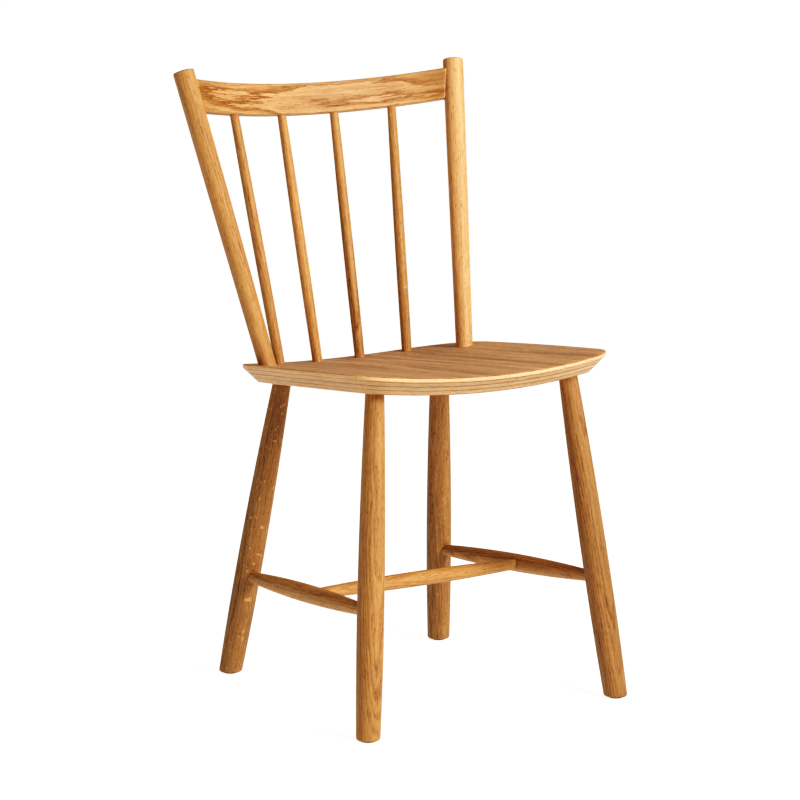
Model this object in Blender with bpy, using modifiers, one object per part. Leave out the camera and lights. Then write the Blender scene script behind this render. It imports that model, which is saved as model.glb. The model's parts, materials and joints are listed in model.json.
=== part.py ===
"""Spindle-back dining chair in oak, with a moulded plywood seat.

Units are metres. +Z is up, the front of the chair faces -Y, and X runs across it. Plan positions are
measured from the middle of the seat, and heights from the floor. The last step moves the whole chair
so that its box is centred on the origin.
"""
import math

import bmesh
import bpy
import numpy as np
from mathutils import Matrix, Vector

# Joint clearance between any two pieces that touch
GAP = 0.0003

# Main sizes: the seat between its front corners, the seat between the middles of its front and back
# edges, the seat's top at its middle over the floor, and the middle of a back post's top over the floor
SEAT_WIDTH = 0.3868
SEAT_DEPTH = 0.4336
SEAT_HEIGHT = 0.4379
POST_TOP_HEIGHT = 0.8251

# Seat: a board pressed to a hollow across its width, and let down towards the back
SEAT_THICKNESS = 0.0232
SEAT_HOLLOW_RADIUS = 1.321
SEAT_FALL_ANGLE = math.radians(4.94)

# Seat plies: thin ones with their grain front to back, a thick one with its grain across between each two
SEAT_THIN_PLIES = 5
SEAT_THIN_PLY = 0.0010

# Seat outline: a back arc, a front arc and two side arcs, with rounded corners between them. The bows
# are how far the arcs stand out from the lines between the corners
SEAT_NARROWING = 0.0148
SEAT_FRONT_BOW = 0.0227
SEAT_BACK_BOW = 0.0549
SEAT_SIDE_BOW = 0.0055
SEAT_FRONT_CORNER_RADIUS = 0.045
SEAT_BACK_CORNER_RADIUS = 0.120
SEAT_FRONT_CORNER = (SEAT_WIDTH / 2.0, SEAT_FRONT_BOW - SEAT_DEPTH / 2.0)
SEAT_BACK_CORNER = ((SEAT_WIDTH - SEAT_NARROWING) / 2.0, SEAT_DEPTH / 2.0 - SEAT_BACK_BOW)

# Seat edge: a small round on top, a narrow upright land, then a wide bevel underneath
SEAT_TOP_ROUND = 0.0018
SEAT_LAND = 0.0048
SEAT_BEVEL = 0.0205

# Legs: turned, fullest low down, cut level at the foot, with their top ends let into the seat. Holes
# are placed from the seat's corners and its front or back middle, and feet from the holes
FRONT_LEG_FROM_SIDE = 0.0431
FRONT_LEG_FROM_FRONT = 0.0696
FRONT_LEG_SPLAY_OUT = 0.0452
FRONT_LEG_SPLAY_FORWARD = 0.0533
REAR_LEG_FROM_SIDE = 0.0592
REAR_LEG_FROM_BACK = 0.0935
REAR_LEG_SPLAY_OUT = 0.0451
REAR_LEG_SPLAY_BACK = 0.0705
LEG_FOOT_DIAMETER = 0.0312
LEG_FOOT_ROUND = 0.0030
LEG_BELLY_DIAMETER = 0.0350
LEG_BELLY_HEIGHT = 0.145
LEG_TOP_DIAMETER = 0.0246
LEG_TENON_LENGTH = 0.0150

# Floor glides: a low disc on a nail, one under each leg
GLIDE_DIAMETER = 0.019
GLIDE_THICKNESS = 0.0018
GLIDE_EDGE_ROUND = 0.0006
GLIDE_NAIL_DIAMETER = 0.0034
GLIDE_NAIL_LENGTH = 0.014

# Stretchers: one from front leg to rear leg on each side, and one across between those two
STRETCHER_FRONT_HEIGHT = 0.1622
STRETCHER_REAR_HEIGHT = 0.1387
STRETCHER_BELLY_DIAMETER = 0.0246
STRETCHER_END_DIAMETER = 0.0150
STRETCHER_TENON_LENGTH = 0.0200
CROSS_FROM_FRONT_LEG = 0.165
CROSS_BELLY_DIAMETER = 0.0206
CROSS_END_DIAMETER = 0.0140
CROSS_TENON_LENGTH = 0.0150

# Back posts: turned, widening upwards, leaning back and outwards
POST_FROM_SIDE = 0.0280
POST_FROM_BACK = 0.1089
POST_LEAN_OUT = 0.0581
POST_LEAN_BACK = 0.1166
POST_BASE_DIAMETER = 0.0234
POST_TOP_DIAMETER = 0.0287
POST_SWELL = 0.0003
POST_END_ROUND = 0.0013
POST_TENON_LENGTH = 0.0150

# Crest rail: a bent bar between the posts, hollow to the front, with a tenon in each post
RAIL_BELOW_POST_TOP = 0.0332
RAIL_SAG = 0.0537
RAIL_END_RISE = 0.0180
RAIL_LEAN = math.radians(14.0)
RAIL_DEPTH = 0.0437
RAIL_THICKNESS = 0.0180
RAIL_EDGE_ROUND = 0.0026
RAIL_TENON_DEPTH = 0.0320
RAIL_TENON_THICKNESS = 0.0090
RAIL_TENON_PAST_AXIS = 0.0060
RAIL_TENON_ROOT = 0.0260

# Spindles: slender turned rods, fullest low down, evenly spaced from the seat to the crest rail
SPINDLE_PITCH_AT_SEAT = 0.0685
SPINDLE_PITCH_AT_RAIL = 0.0841
SPINDLE_FROM_BACK = 0.0315
SPINDLE_BASE_DIAMETER = 0.0140
SPINDLE_BELLY_DIAMETER = 0.0150
SPINDLE_BELLY_HEIGHT = 0.115
SPINDLE_TOP_DIAMETER = 0.0121
SPINDLE_SEAT_TENON = 0.0150
SPINDLE_RAIL_TENON = 0.0200

# How much deeper a hole is than its tenon, and how far a cutter runs out past the face that it cuts
HOLE_SPARE_DEPTH = 0.0005
CUTTER_OVERRUN = 0.020

# The foot's round is followed through these turns, then left along its tangent
FOOT_ROUND_TURNS = (0.0, math.radians(30.0), math.radians(60.0))

# How finely curved work is divided: sides round a turned piece, steps along it, flats across a bend
LEG_SIDES = 20
POST_SIDES = 20
STRETCHER_SIDES = 16
SPINDLE_SIDES = 12
GLIDE_SIDES = 16
STEPS_BELOW_BELLY = 3
STEPS_ABOVE_BELLY = 5
POST_STEPS = 5
OUTLINE_STEPS = {"back": 7, "back corner": 7, "side": 6, "front corner": 7, "front": 8}
SEAT_STRIP_WIDTH = 0.024
RAIL_SLICE_LENGTH = 0.026

# Points nearer than this are the same point
SAME_POINT = 0.00001

SIDES = (("left", -1.0), ("right", 1.0))
SPINDLES = (("inner", 0.5), ("outer", 1.5))
UPRIGHT = Vector((0.0, 0.0, 1.0))


def clear_scene():
    """Empty the file of objects and of their collections."""
    for item in list(bpy.data.objects):
        bpy.data.objects.remove(item, do_unlink=True)
    for group in list(bpy.data.collections):
        bpy.data.collections.remove(group)


def new_collection(name):
    """A collection under the scene's own."""
    group = bpy.data.collections.new(name)
    bpy.context.scene.collection.children.link(group)
    return group


def new_material(name, colour, roughness):
    """A Principled material with one colour."""
    material = bpy.data.materials.new(name)
    material.use_nodes = True
    shader = material.node_tree.nodes["Principled BSDF"]
    shader.inputs["Base Color"].default_value = (*colour, 1.0)
    shader.inputs["Roughness"].default_value = roughness
    shader.inputs["Metallic"].default_value = 0.0
    return material


def mesh_from(name, bm):
    """Turn a bmesh into a mesh, with its faces pointing out."""
    bmesh.ops.recalc_face_normals(bm, faces=bm.faces)
    mesh = bpy.data.meshes.new(name)
    bm.to_mesh(mesh)
    bm.free()
    return mesh


def slice_across(bm, places):
    """Cut new edges round a bmesh where X has each of these values."""
    for x in places:
        everything = bm.verts[:] + bm.edges[:] + bm.faces[:]
        bmesh.ops.bisect_plane(bm, geom=everything, dist=SAME_POINT, plane_co=(x, 0, 0), plane_no=(1, 0, 0))


def add_boolean(item, operation, tool):
    """Cut a piece with a tool, or join the tool to it."""
    step = item.modifiers.new(tool.name, "BOOLEAN")
    step.operation = operation
    step.solver = "EXACT"
    step.object = tool


def along_line(start, end):
    """The place of a piece whose Z axis runs from start to end, with its origin at start."""
    turn = UPRIGHT.rotation_difference(end - start)
    return Matrix.Translation(start) @ turn.to_matrix().to_4x4()


class Bench:
    """Keeps the chair's pieces and the tools that cut them, all held by one datum."""

    def __init__(self):
        self.chair = new_collection("spindle_back_chair")
        self.cutters = new_collection("cutters")
        self.datum = bpy.data.objects.new("chair_datum", None)
        self.chair.objects.link(self.datum)

    def add(self, group, name, mesh, place):
        """An object held by the datum."""
        item = bpy.data.objects.new(name, mesh)
        group.objects.link(item)
        item.parent = self.datum
        item.matrix_local = place
        return item

    def piece(self, name, mesh, material, place=Matrix()):
        """A piece of the chair."""
        mesh.materials.append(material)
        return self.add(self.chair, name, mesh, place)

    def tool(self, name, mesh, place=Matrix()):
        """An object that only cuts or joins others."""
        item = self.add(self.cutters, name, mesh, place)
        item.hide_render = True
        item.display_type = "WIRE"
        return item

    def turn(self, item, sides):
        """Sweep an object's profile once round its own Z axis."""
        lathe = item.modifiers.new("lathe", "SCREW")
        lathe.axis = "Z"
        lathe.angle = math.tau
        lathe.steps = sides
        lathe.render_steps = sides
        lathe.use_merge_vertices = True
        lathe.merge_threshold = SAME_POINT
        lathe.use_smooth_shade = True
        return item

    def turned_piece(self, name, profile, sides, material, place):
        """A turned piece, from its (radius, height) profile, top to bottom."""
        return self.turn(self.piece(name, profile_mesh(name, profile), material, place), sides)

    def turned_tool(self, name, profile, sides, place):
        """A turned tool, from its (radius, height) profile, top to bottom."""
        return self.turn(self.tool(name, profile_mesh(name, profile), place), sides)

    def drill(self, name, radius, low, high, sides, place):
        """A round bar along its own Z axis, from low to high, that bores a hole."""
        profile = [(0.0, high), (radius, high), (radius, low), (0.0, low)]
        return self.turned_tool(name, profile, sides, place)

    def block(self, name, low, high, place=Matrix()):
        """A box between two corners, that cuts a mortise or makes a tenon."""
        bm = bmesh.new()
        bmesh.ops.create_cube(bm, size=1.0)
        bmesh.ops.scale(bm, vec=high - low, verts=bm.verts)
        bmesh.ops.translate(bm, vec=(low + high) / 2.0, verts=bm.verts)
        return self.tool(name, mesh_from(name, bm), place)

    def centre_on_origin(self):
        """Move the datum so that the chair's box is centred on the origin, front to back."""
        bpy.context.view_layer.update()
        graph = bpy.context.evaluated_depsgraph_get()
        depths = []
        for item in self.chair.objects:
            if item.type == "MESH":
                solid = item.evaluated_get(graph)
                depths += [(solid.matrix_world @ vert.co).y for vert in solid.data.vertices]
        self.datum.location.y = -(min(depths) + max(depths)) / 2.0


def profile_mesh(name, profile):
    """An edge chain at +X through (radius, height) points, from the top of the piece to its bottom."""
    mesh = bpy.data.meshes.new(name)
    points = [(radius, 0.0, height) for radius, height in profile]
    mesh.from_pydata(points, [(i, i + 1) for i in range(len(points) - 1)], [])
    return mesh


def swelling(length, start_radius, belly_radius, end_radius, belly_at):
    """Radius along a turned piece: a shallow arc from the belly to each end."""

    def radius(along):
        if along < belly_at:
            share = (belly_at - along) / belly_at
            return belly_radius - (belly_radius - start_radius) * share ** 2
        share = (along - belly_at) / (length - belly_at)
        return belly_radius - (belly_radius - end_radius) * share ** 2

    return radius


def steps_to(length, belly_at, below, above):
    """Places along a turned piece from its start to its end, with one at the belly."""
    return [*np.linspace(0.0, belly_at, below + 1)[:-1], *np.linspace(belly_at, length, above + 1)]


def seat_rise(x, y):
    """Height of the pressed seat over its middle: hollow across X, falling towards the back.

    The hollow is a chain of flat strips, so every facet of a ply is truly flat.
    """
    lines = np.arange(0.0, SEAT_HOLLOW_RADIUS / 2.0, SEAT_STRIP_WIDTH)
    heights = lines ** 2 / (2.0 * SEAT_HOLLOW_RADIUS)
    return float(np.interp(abs(x), lines, heights)) - y * math.tan(SEAT_FALL_ANGLE)


def seat_point(plan, sign, depth=0.0):
    """A point on the top of the seat, or so far below it, on one side of the chair."""
    x, y = plan[0] * sign, plan[1]
    return Vector((x, y, SEAT_HEIGHT + seat_rise(x, y) - depth))


def cross_arc(middle_y, corner):
    """Centre and radius of the arc through a middle point and both corners."""
    x, y = corner
    rise = abs(middle_y - y)
    radius = (x * x + rise * rise) / (2.0 * rise)
    return np.array((0.0, middle_y - math.copysign(radius, middle_y - y))), radius


def side_arc(start, end, bow):
    """Centre and radius of the arc between two corners that stands out by bow at its middle."""
    start, end = np.array(start), np.array(end)
    half = np.linalg.norm(end - start) / 2.0
    radius = (half * half + bow * bow) / (2.0 * bow)
    forward = (end - start) / (2.0 * half)
    inward = np.array((forward[1], -forward[0]))
    return (start + end) / 2.0 + inward * (radius - bow), radius


def corner_round(first, second, corner_radius, corner):
    """Centre and radius of the round that touches two arcs from inside, next to their corner."""
    (centre_a, radius_a), (centre_b, radius_b) = first, second
    reach_a, reach_b = radius_a - corner_radius, radius_b - corner_radius
    apart = np.linalg.norm(centre_b - centre_a)
    unit = (centre_b - centre_a) / apart
    along = (apart ** 2 + reach_a ** 2 - reach_b ** 2) / (2.0 * apart)
    across = math.sqrt(reach_a ** 2 - along ** 2) * np.array((-unit[1], unit[0]))
    options = [centre_a + unit * along + across, centre_a + unit * along - across]
    return min(options, key=lambda point: np.linalg.norm(point - np.array(corner))), corner_radius


def bearing(start, end):
    """Angle of the line from one plan point to another."""
    across, forward = end - start
    return math.atan2(forward, across)


def seat_outline(inset):
    """The seat's outline in plan, drawn in by inset.

    Every arc keeps its centre and loses inset from its radius, so all outlines have matching points.
    """
    back = cross_arc(SEAT_DEPTH / 2.0, SEAT_BACK_CORNER)
    front = cross_arc(-SEAT_DEPTH / 2.0, SEAT_FRONT_CORNER)
    side = side_arc(SEAT_BACK_CORNER, SEAT_FRONT_CORNER, SEAT_SIDE_BOW)
    back_corner = corner_round(back, side, SEAT_BACK_CORNER_RADIUS, SEAT_BACK_CORNER)
    front_corner = corner_round(front, side, SEAT_FRONT_CORNER_RADIUS, SEAT_FRONT_CORNER)
    turns = (
        math.pi / 2.0,
        bearing(back[0], back_corner[0]),
        bearing(side[0], back_corner[0]),
        bearing(side[0], front_corner[0]),
        bearing(front[0], front_corner[0]),
        -math.pi / 2.0,
    )
    arcs = (back, back_corner, side, front_corner, front)
    half = []
    for (centre, radius), steps, start, end in zip(arcs, OUTLINE_STEPS.values(), turns[:-1], turns[1:]):
        for turn in np.linspace(start, end, steps + 1)[:-1]:
            half.append(centre + (radius - inset) * np.array((math.cos(turn), math.sin(turn))))
    half.append(front[0] - (0.0, front[1] - inset))
    return half + [point * (-1.0, 1.0) for point in half[-2:0:-1]]


def edge_inset(depth):
    """How far the seat's edge is drawn in at a depth below its top surface."""
    if depth < SEAT_TOP_ROUND:
        return SEAT_TOP_ROUND - math.sqrt(SEAT_TOP_ROUND ** 2 - (SEAT_TOP_ROUND - depth) ** 2)
    if depth < SEAT_LAND:
        return 0.0
    return SEAT_BEVEL * (depth - SEAT_LAND) / (SEAT_THICKNESS - SEAT_LAND)


def ply_mesh(name, top, bottom):
    """One ply between two depths: lofted from outline to outline, sliced into strips and pressed."""
    breaks = (SEAT_TOP_ROUND / 3.0, SEAT_TOP_ROUND, SEAT_LAND)
    depths = [top] + [depth for depth in breaks if top < depth < bottom] + [bottom]
    bm = bmesh.new()
    rings = []
    for depth in depths:
        rings.append([bm.verts.new((x, y, -depth)) for x, y in seat_outline(edge_inset(depth))])
    for upper, lower in zip(rings[:-1], rings[1:]):
        for i, j in zip(range(len(upper)), [*range(1, len(upper)), 0]):
            bm.faces.new((upper[i], upper[j], lower[j], lower[i]))
    bm.faces.new(rings[0])
    bm.faces.new(rings[-1])
    half_width = max(vert.co.x for vert in rings[0])
    lines = math.ceil(half_width / SEAT_STRIP_WIDTH)
    slice_across(bm, [line * SEAT_STRIP_WIDTH for line in range(-lines, lines + 1)])
    for vert in bm.verts:
        vert.co.z += SEAT_HEIGHT + seat_rise(vert.co.x, vert.co.y)
    return mesh_from(name, bm)


def make_seat(bench, materials, drills):
    """The pressed plies, with glue lines between them, and the holes for legs, posts and spindles."""
    count = 2 * SEAT_THIN_PLIES - 1
    thick_plies = SEAT_THIN_PLIES - 1
    thick_ply = (SEAT_THICKNESS - SEAT_THIN_PLIES * SEAT_THIN_PLY - (count - 1) * GAP) / thick_plies
    top = 0.0
    for number in range(1, count + 1):
        thin = number % 2 == 1
        bottom = top + (SEAT_THIN_PLY if thin else thick_ply)
        name = f"seat_ply_{number}_{'thin' if thin else 'thick'}"
        if number == 1:
            name = f"seat_ply_{number}_top_veneer"
        if number == count:
            name = f"seat_ply_{number}_bottom_veneer"
        ply = bench.piece(name, ply_mesh(name, top, bottom), materials["thin ply" if thin else "thick ply"])
        for drill in drills:
            add_boolean(ply, "DIFFERENCE", drill)
        top = bottom + GAP


class Leg:
    """A turned leg on a glide: its centre line, its shape, and the drill for its hole in the seat."""

    def __init__(self, hole, splay, sign):
        self.floor = Vector(((hole[0] + splay[0]) * sign, hole[1] + splay[1], 0.0))
        self.top = seat_point(hole, sign, SEAT_THICKNESS)
        self.length = (self.top - self.floor).length
        self.place = along_line(self.floor, self.top)
        foot_radius, belly_radius = LEG_FOOT_DIAMETER / 2.0, LEG_BELLY_DIAMETER / 2.0
        top_radius = LEG_TOP_DIAMETER / 2.0
        self.radius = swelling(self.length, foot_radius, belly_radius, top_radius, LEG_BELLY_HEIGHT)

    def at_height(self, height):
        """The centre line's point at a height above the floor."""
        return self.floor.lerp(self.top, height / self.top.z)

    def radius_at(self, point):
        """The leg's radius at a point of its centre line."""
        return self.radius((point - self.floor).length)

    def foot_tool(self, bench, name):
        """A dish about an upright axis that levels the foot over its glide and rounds the foot's edge."""
        level = GLIDE_THICKNESS + GAP
        flat = LEG_FOOT_DIAMETER / 2.0 - LEG_FOOT_ROUND
        profile = [(0.0, level)]
        for turn in FOOT_ROUND_TURNS:
            rise = LEG_FOOT_ROUND * (1.0 - math.cos(turn))
            profile.append((flat + LEG_FOOT_ROUND * math.sin(turn), level + rise))
        out, up = profile[-1]
        rim = out + LEG_FOOT_ROUND * math.cos(FOOT_ROUND_TURNS[-1])
        top = up + LEG_FOOT_ROUND * math.sin(FOOT_ROUND_TURNS[-1])
        profile += [(rim, top), (rim + CUTTER_OVERRUN, top)]
        profile += [(rim + CUTTER_OVERRUN, -CUTTER_OVERRUN), (0.0, -CUTTER_OVERRUN)]
        foot = self.at_height(level)
        return bench.turned_tool(name, profile, LEG_SIDES, Matrix.Translation((foot.x, foot.y, 0.0)))

    def make(self, bench, name, material):
        """Turn the leg, and level and round its foot."""
        tip, end = LEG_TOP_DIAMETER / 2.0, self.length + LEG_TENON_LENGTH
        steps = steps_to(self.length, LEG_BELLY_HEIGHT, STEPS_BELOW_BELLY, STEPS_ABOVE_BELLY)
        profile = [(0.0, end), (tip, end)]
        profile += [(self.radius(along), along) for along in reversed(steps)]
        spare = CUTTER_OVERRUN / 2.0
        profile += [(LEG_FOOT_DIAMETER / 2.0, -spare), (0.0, -spare)]
        leg = bench.turned_piece(name, profile, LEG_SIDES, material, self.place)
        add_boolean(leg, "DIFFERENCE", self.foot_tool(bench, name + "_foot"))
        return leg

    def make_glide(self, bench, name, material):
        """The glide under the foot. Returns the drill for its nail."""
        foot = self.at_height(GLIDE_THICKNESS)
        place = Matrix.Translation((foot.x, foot.y, 0.0))
        rim, nail = GLIDE_DIAMETER / 2.0, GLIDE_NAIL_DIAMETER / 2.0
        tip = GLIDE_THICKNESS + GLIDE_NAIL_LENGTH
        profile = [
            (0.0, tip),
            (nail, tip - nail),
            (nail, GLIDE_THICKNESS),
            (rim, GLIDE_THICKNESS),
            (rim, GLIDE_EDGE_ROUND),
            (rim - GLIDE_EDGE_ROUND, 0.0),
            (0.0, 0.0),
        ]
        bench.turned_piece(name, profile, GLIDE_SIDES, material, place)
        end = tip + HOLE_SPARE_DEPTH
        return bench.drill(name + "_hole", nail + GAP, -CUTTER_OVERRUN, end, GLIDE_SIDES, place)

    def seat_drill(self, bench, name):
        """The drill for the leg's hole in the underside of the seat."""
        end = self.length + LEG_TENON_LENGTH + HOLE_SPARE_DEPTH
        radius = LEG_TOP_DIAMETER / 2.0 + GAP
        return bench.drill(name, radius, self.length - CUTTER_OVERRUN, end, LEG_SIDES, self.place)


class Stretcher:
    """A turned stretcher between the centre lines of two round pieces, full in the middle."""

    def __init__(self, start, end, start_joint, end_joint, belly, tip, tenon):
        self.start, self.end, self.tip, self.tenon = start, end, tip / 2.0, tenon
        self.first = start_joint
        self.last = (end - start).length - end_joint
        self.span = self.last - self.first
        self.place = along_line(start, end)
        self.shape = swelling(self.span, self.tip, belly / 2.0, self.tip, self.span / 2.0)

    def point(self, along):
        """The centre line's point at a distance from its start."""
        return self.start + (self.end - self.start).normalized() * along

    def radius(self, along):
        """The stretcher's radius at a distance from its start."""
        return self.shape(along - self.first)

    def make(self, bench, name, material):
        """Turn the stretcher, with a plain tenon at each end."""
        steps = steps_to(self.span, self.span / 2.0, STEPS_ABOVE_BELLY, STEPS_ABOVE_BELLY)
        profile = [(0.0, self.last + self.tenon), (self.tip, self.last + self.tenon)]
        profile += [(self.shape(step), self.first + step) for step in reversed(steps)]
        profile += [(self.tip, self.first - self.tenon), (0.0, self.first - self.tenon)]
        return bench.turned_piece(name, profile, STRETCHER_SIDES, material, self.place)

    def drills(self, bench, name):
        """The drills for the holes at its start and at its end."""
        reach = self.tenon + HOLE_SPARE_DEPTH
        spans = {
            "start": (self.first - reach, self.first + CUTTER_OVERRUN),
            "end": (self.last - CUTTER_OVERRUN, self.last + reach),
        }
        return [
            bench.drill(f"{name}_{where}_hole", self.tip + GAP, low, high, STRETCHER_SIDES, self.place)
            for where, (low, high) in spans.items()
        ]


def make_side_frame(bench, materials, side, sign):
    """Two legs on glides with the stretcher between them. Returns the stretcher and the seat drills."""
    front_hole = (SEAT_FRONT_CORNER[0] - FRONT_LEG_FROM_SIDE, FRONT_LEG_FROM_FRONT - SEAT_DEPTH / 2.0)
    rear_hole = (SEAT_BACK_CORNER[0] - REAR_LEG_FROM_SIDE, SEAT_DEPTH / 2.0 - REAR_LEG_FROM_BACK)
    front_splay = (FRONT_LEG_SPLAY_OUT, -FRONT_LEG_SPLAY_FORWARD)
    rear_splay = (REAR_LEG_SPLAY_OUT, REAR_LEG_SPLAY_BACK)
    spots = {
        "front": (front_hole, front_splay, STRETCHER_FRONT_HEIGHT),
        "rear": (rear_hole, rear_splay, STRETCHER_REAR_HEIGHT),
    }
    legs, joints, seat_drills = [], [], []
    for where, (hole, splay, height) in spots.items():
        name = f"leg_{where}_{side}"
        leg = Leg(hole, splay, sign)
        item = leg.make(bench, name, materials["leg"])
        add_boolean(item, "DIFFERENCE", leg.make_glide(bench, f"glide_{where}_{side}", materials["glide"]))
        seat_drills.append(leg.seat_drill(bench, name + "_hole"))
        joint = leg.at_height(height)
        joints.append((joint, leg.radius_at(joint)))
        legs.append(item)
    (start, start_joint), (end, end_joint) = joints
    belly, tip = STRETCHER_BELLY_DIAMETER, STRETCHER_END_DIAMETER
    stretcher = Stretcher(start, end, start_joint, end_joint, belly, tip, STRETCHER_TENON_LENGTH)
    name = f"side_stretcher_{side}"
    item = stretcher.make(bench, name, materials["stretcher"])
    for leg_item, drill in zip(legs, stretcher.drills(bench, name)):
        add_boolean(leg_item, "DIFFERENCE", drill)
    return stretcher, item, seat_drills


def make_base(bench, materials):
    """Both side frames and the cross stretcher. Returns the drills for the legs' holes in the seat."""
    frames = [make_side_frame(bench, materials, side, sign) for side, sign in SIDES]
    start, end = [stretcher.point(CROSS_FROM_FRONT_LEG) for stretcher, _, _ in frames]
    start_joint, end_joint = [stretcher.radius(CROSS_FROM_FRONT_LEG) for stretcher, _, _ in frames]
    belly, tip = CROSS_BELLY_DIAMETER, CROSS_END_DIAMETER
    cross = Stretcher(start, end, start_joint, end_joint, belly, tip, CROSS_TENON_LENGTH)
    cross.make(bench, "cross_stretcher", materials["stretcher"])
    for (_, item, _), drill in zip(frames, cross.drills(bench, "cross_stretcher")):
        add_boolean(item, "DIFFERENCE", drill)
    return [drill for _, _, drills in frames for drill in drills]


class Post:
    """A turned back post: its centre line and its shape."""

    def __init__(self, sign):
        hole = (SEAT_BACK_CORNER[0] - POST_FROM_SIDE, SEAT_DEPTH / 2.0 - POST_FROM_BACK)
        self.seat = seat_point(hole, sign)
        self.top = Vector(((hole[0] + POST_LEAN_OUT) * sign, hole[1] + POST_LEAN_BACK, POST_TOP_HEIGHT))
        self.length = (self.top - self.seat).length
        self.place = along_line(self.seat, self.top)

    def radius(self, along):
        """Radius at a distance from the seat: a taper with a slight swell."""
        share = along / self.length
        taper = POST_BASE_DIAMETER + (POST_TOP_DIAMETER - POST_BASE_DIAMETER) * share
        return taper / 2.0 + POST_SWELL * 4.0 * share * (1.0 - share)

    def make(self, bench, name, material):
        """Turn the post, with a softly rounded top end."""
        end = self.length
        tip = self.radius(end)
        shoulder = POST_END_ROUND * (1.0 - math.cos(math.pi / 4.0))
        steps = np.linspace(0.0, end - POST_END_ROUND, POST_STEPS + 1)
        profile = [(0.0, end), (tip - POST_END_ROUND, end), (tip - shoulder, end - shoulder)]
        profile += [(self.radius(along), along) for along in reversed(steps)]
        profile += [(self.radius(0.0), -POST_TENON_LENGTH), (0.0, -POST_TENON_LENGTH)]
        return bench.turned_piece(name, profile, POST_SIDES, material, self.place)

    def seat_drill(self, bench, name):
        """The drill for the post's hole in the top of the seat."""
        reach = POST_TENON_LENGTH + HOLE_SPARE_DEPTH
        return bench.drill(name, self.radius(0.0) + GAP, -reach, CUTTER_OVERRUN, POST_SIDES, self.place)

    def cope_tool(self, bench, name):
        """The post's own shape with the joint clearance added, to hollow the ends of the rail."""
        low, high = self.length - RAIL_BELOW_POST_TOP - RAIL_DEPTH, self.length + CUTTER_OVERRUN
        low_radius, high_radius = self.radius(low) + GAP, self.radius(self.length) + GAP
        profile = [(0.0, high), (high_radius, high), (high_radius, self.length)]
        profile += [(low_radius, low), (0.0, low)]
        return bench.turned_tool(name, profile, POST_SIDES, self.place)


class RailCurve:
    """The crest rail's centre line, and the directions of its section along it.

    The line is an arc in plan through both post axes, and it falls from the posts to its middle as the
    arc goes back.
    """

    def __init__(self, post):
        self.end = post.top + (post.seat - post.top).normalized() * RAIL_BELOW_POST_TOP
        self.radius = (self.end.x ** 2 + RAIL_SAG ** 2) / (2.0 * RAIL_SAG)
        self.half_length = self.radius * math.asin(self.end.x / self.radius)
        self.up = Vector((0.0, math.sin(RAIL_LEAN), math.cos(RAIL_LEAN)))

    def point(self, along):
        """The centre line's point at an arc length from its middle, towards +X."""
        turn = along / self.radius
        forward = self.radius * (1.0 - math.cos(turn))
        rise = RAIL_END_RISE * forward / RAIL_SAG
        middle = Vector((0.0, self.end.y + RAIL_SAG, self.end.z - RAIL_END_RISE))
        return middle + Vector((self.radius * math.sin(turn), -forward, rise))

    def directions(self, along):
        """Unit vectors at an arc length: along the rail, towards its back face, and up its face."""
        tangent = (self.point(along + SAME_POINT) - self.point(along - SAME_POINT)).normalized()
        back = self.up.cross(tangent).normalized()
        return tangent, back, tangent.cross(back)

    def body_point(self, along, back, up):
        """Where a point of the flat bar lies once the bar is bent."""
        _, to_back, to_top = self.directions(along)
        return self.point(along) + to_back * back + to_top * up

    def along_at(self, x):
        """Arc length at which the centre line is this far from the chair's middle."""
        return math.asin(x / self.radius) * self.radius

    def end_place(self, sign):
        """The place of a tenon: X out along the rail, Z up its face, origin on the post's axis."""
        tangent, _, up = self.directions(self.half_length * sign)
        outward = tangent * sign
        place = Matrix((outward, up.cross(outward), up)).transposed().to_4x4()
        place.translation = self.point(self.half_length * sign)
        return place


def rail_mesh(name, curve):
    """A flat bar with rounded long edges, sliced across and bent along the centre line."""
    length = 2.0 * curve.half_length
    bm = bmesh.new()
    bmesh.ops.create_cube(bm, size=1.0)
    bmesh.ops.scale(bm, vec=(length, RAIL_THICKNESS, RAIL_DEPTH), verts=bm.verts)
    long_edges = [edge for edge in bm.edges if abs(edge.verts[0].co.x - edge.verts[1].co.x) > SAME_POINT]
    bmesh.ops.bevel(bm, geom=long_edges, offset=RAIL_EDGE_ROUND, segments=2, profile=0.5, affect="EDGES")
    slices = math.ceil(length / RAIL_SLICE_LENGTH)
    slice_across(bm, np.linspace(-curve.half_length, curve.half_length, slices + 1)[1:-1])
    for vert in bm.verts:
        vert.co = curve.body_point(*vert.co)
    return mesh_from(name, bm)


def make_rail_joint(bench, rail, post_item, post, curve, side, sign):
    """Fit one end of the rail round its post, and give it a tenon in the post."""
    add_boolean(rail, "DIFFERENCE", post.cope_tool(bench, f"crest_rail_{side}_cope"))
    place = curve.end_place(sign)
    low = Vector((-RAIL_TENON_ROOT, -RAIL_TENON_THICKNESS / 2.0, -RAIL_TENON_DEPTH / 2.0))
    high = Vector((RAIL_TENON_PAST_AXIS, RAIL_TENON_THICKNESS / 2.0, RAIL_TENON_DEPTH / 2.0))
    add_boolean(rail, "UNION", bench.block(f"crest_rail_{side}_tenon", low, high, place))
    room = Vector((HOLE_SPARE_DEPTH, GAP, GAP))
    mortise = bench.block(f"crest_rail_{side}_mortise", low - room, high + room, place)
    add_boolean(post_item, "DIFFERENCE", mortise)


def spindle_hole(across):
    """Where a spindle this far from the middle enters the seat: set in evenly from the back edge."""
    (_, centre_y), radius = cross_arc(SEAT_DEPTH / 2.0, SEAT_BACK_CORNER)
    return across, centre_y + math.sqrt(radius ** 2 - across ** 2) - SPINDLE_FROM_BACK


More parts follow.
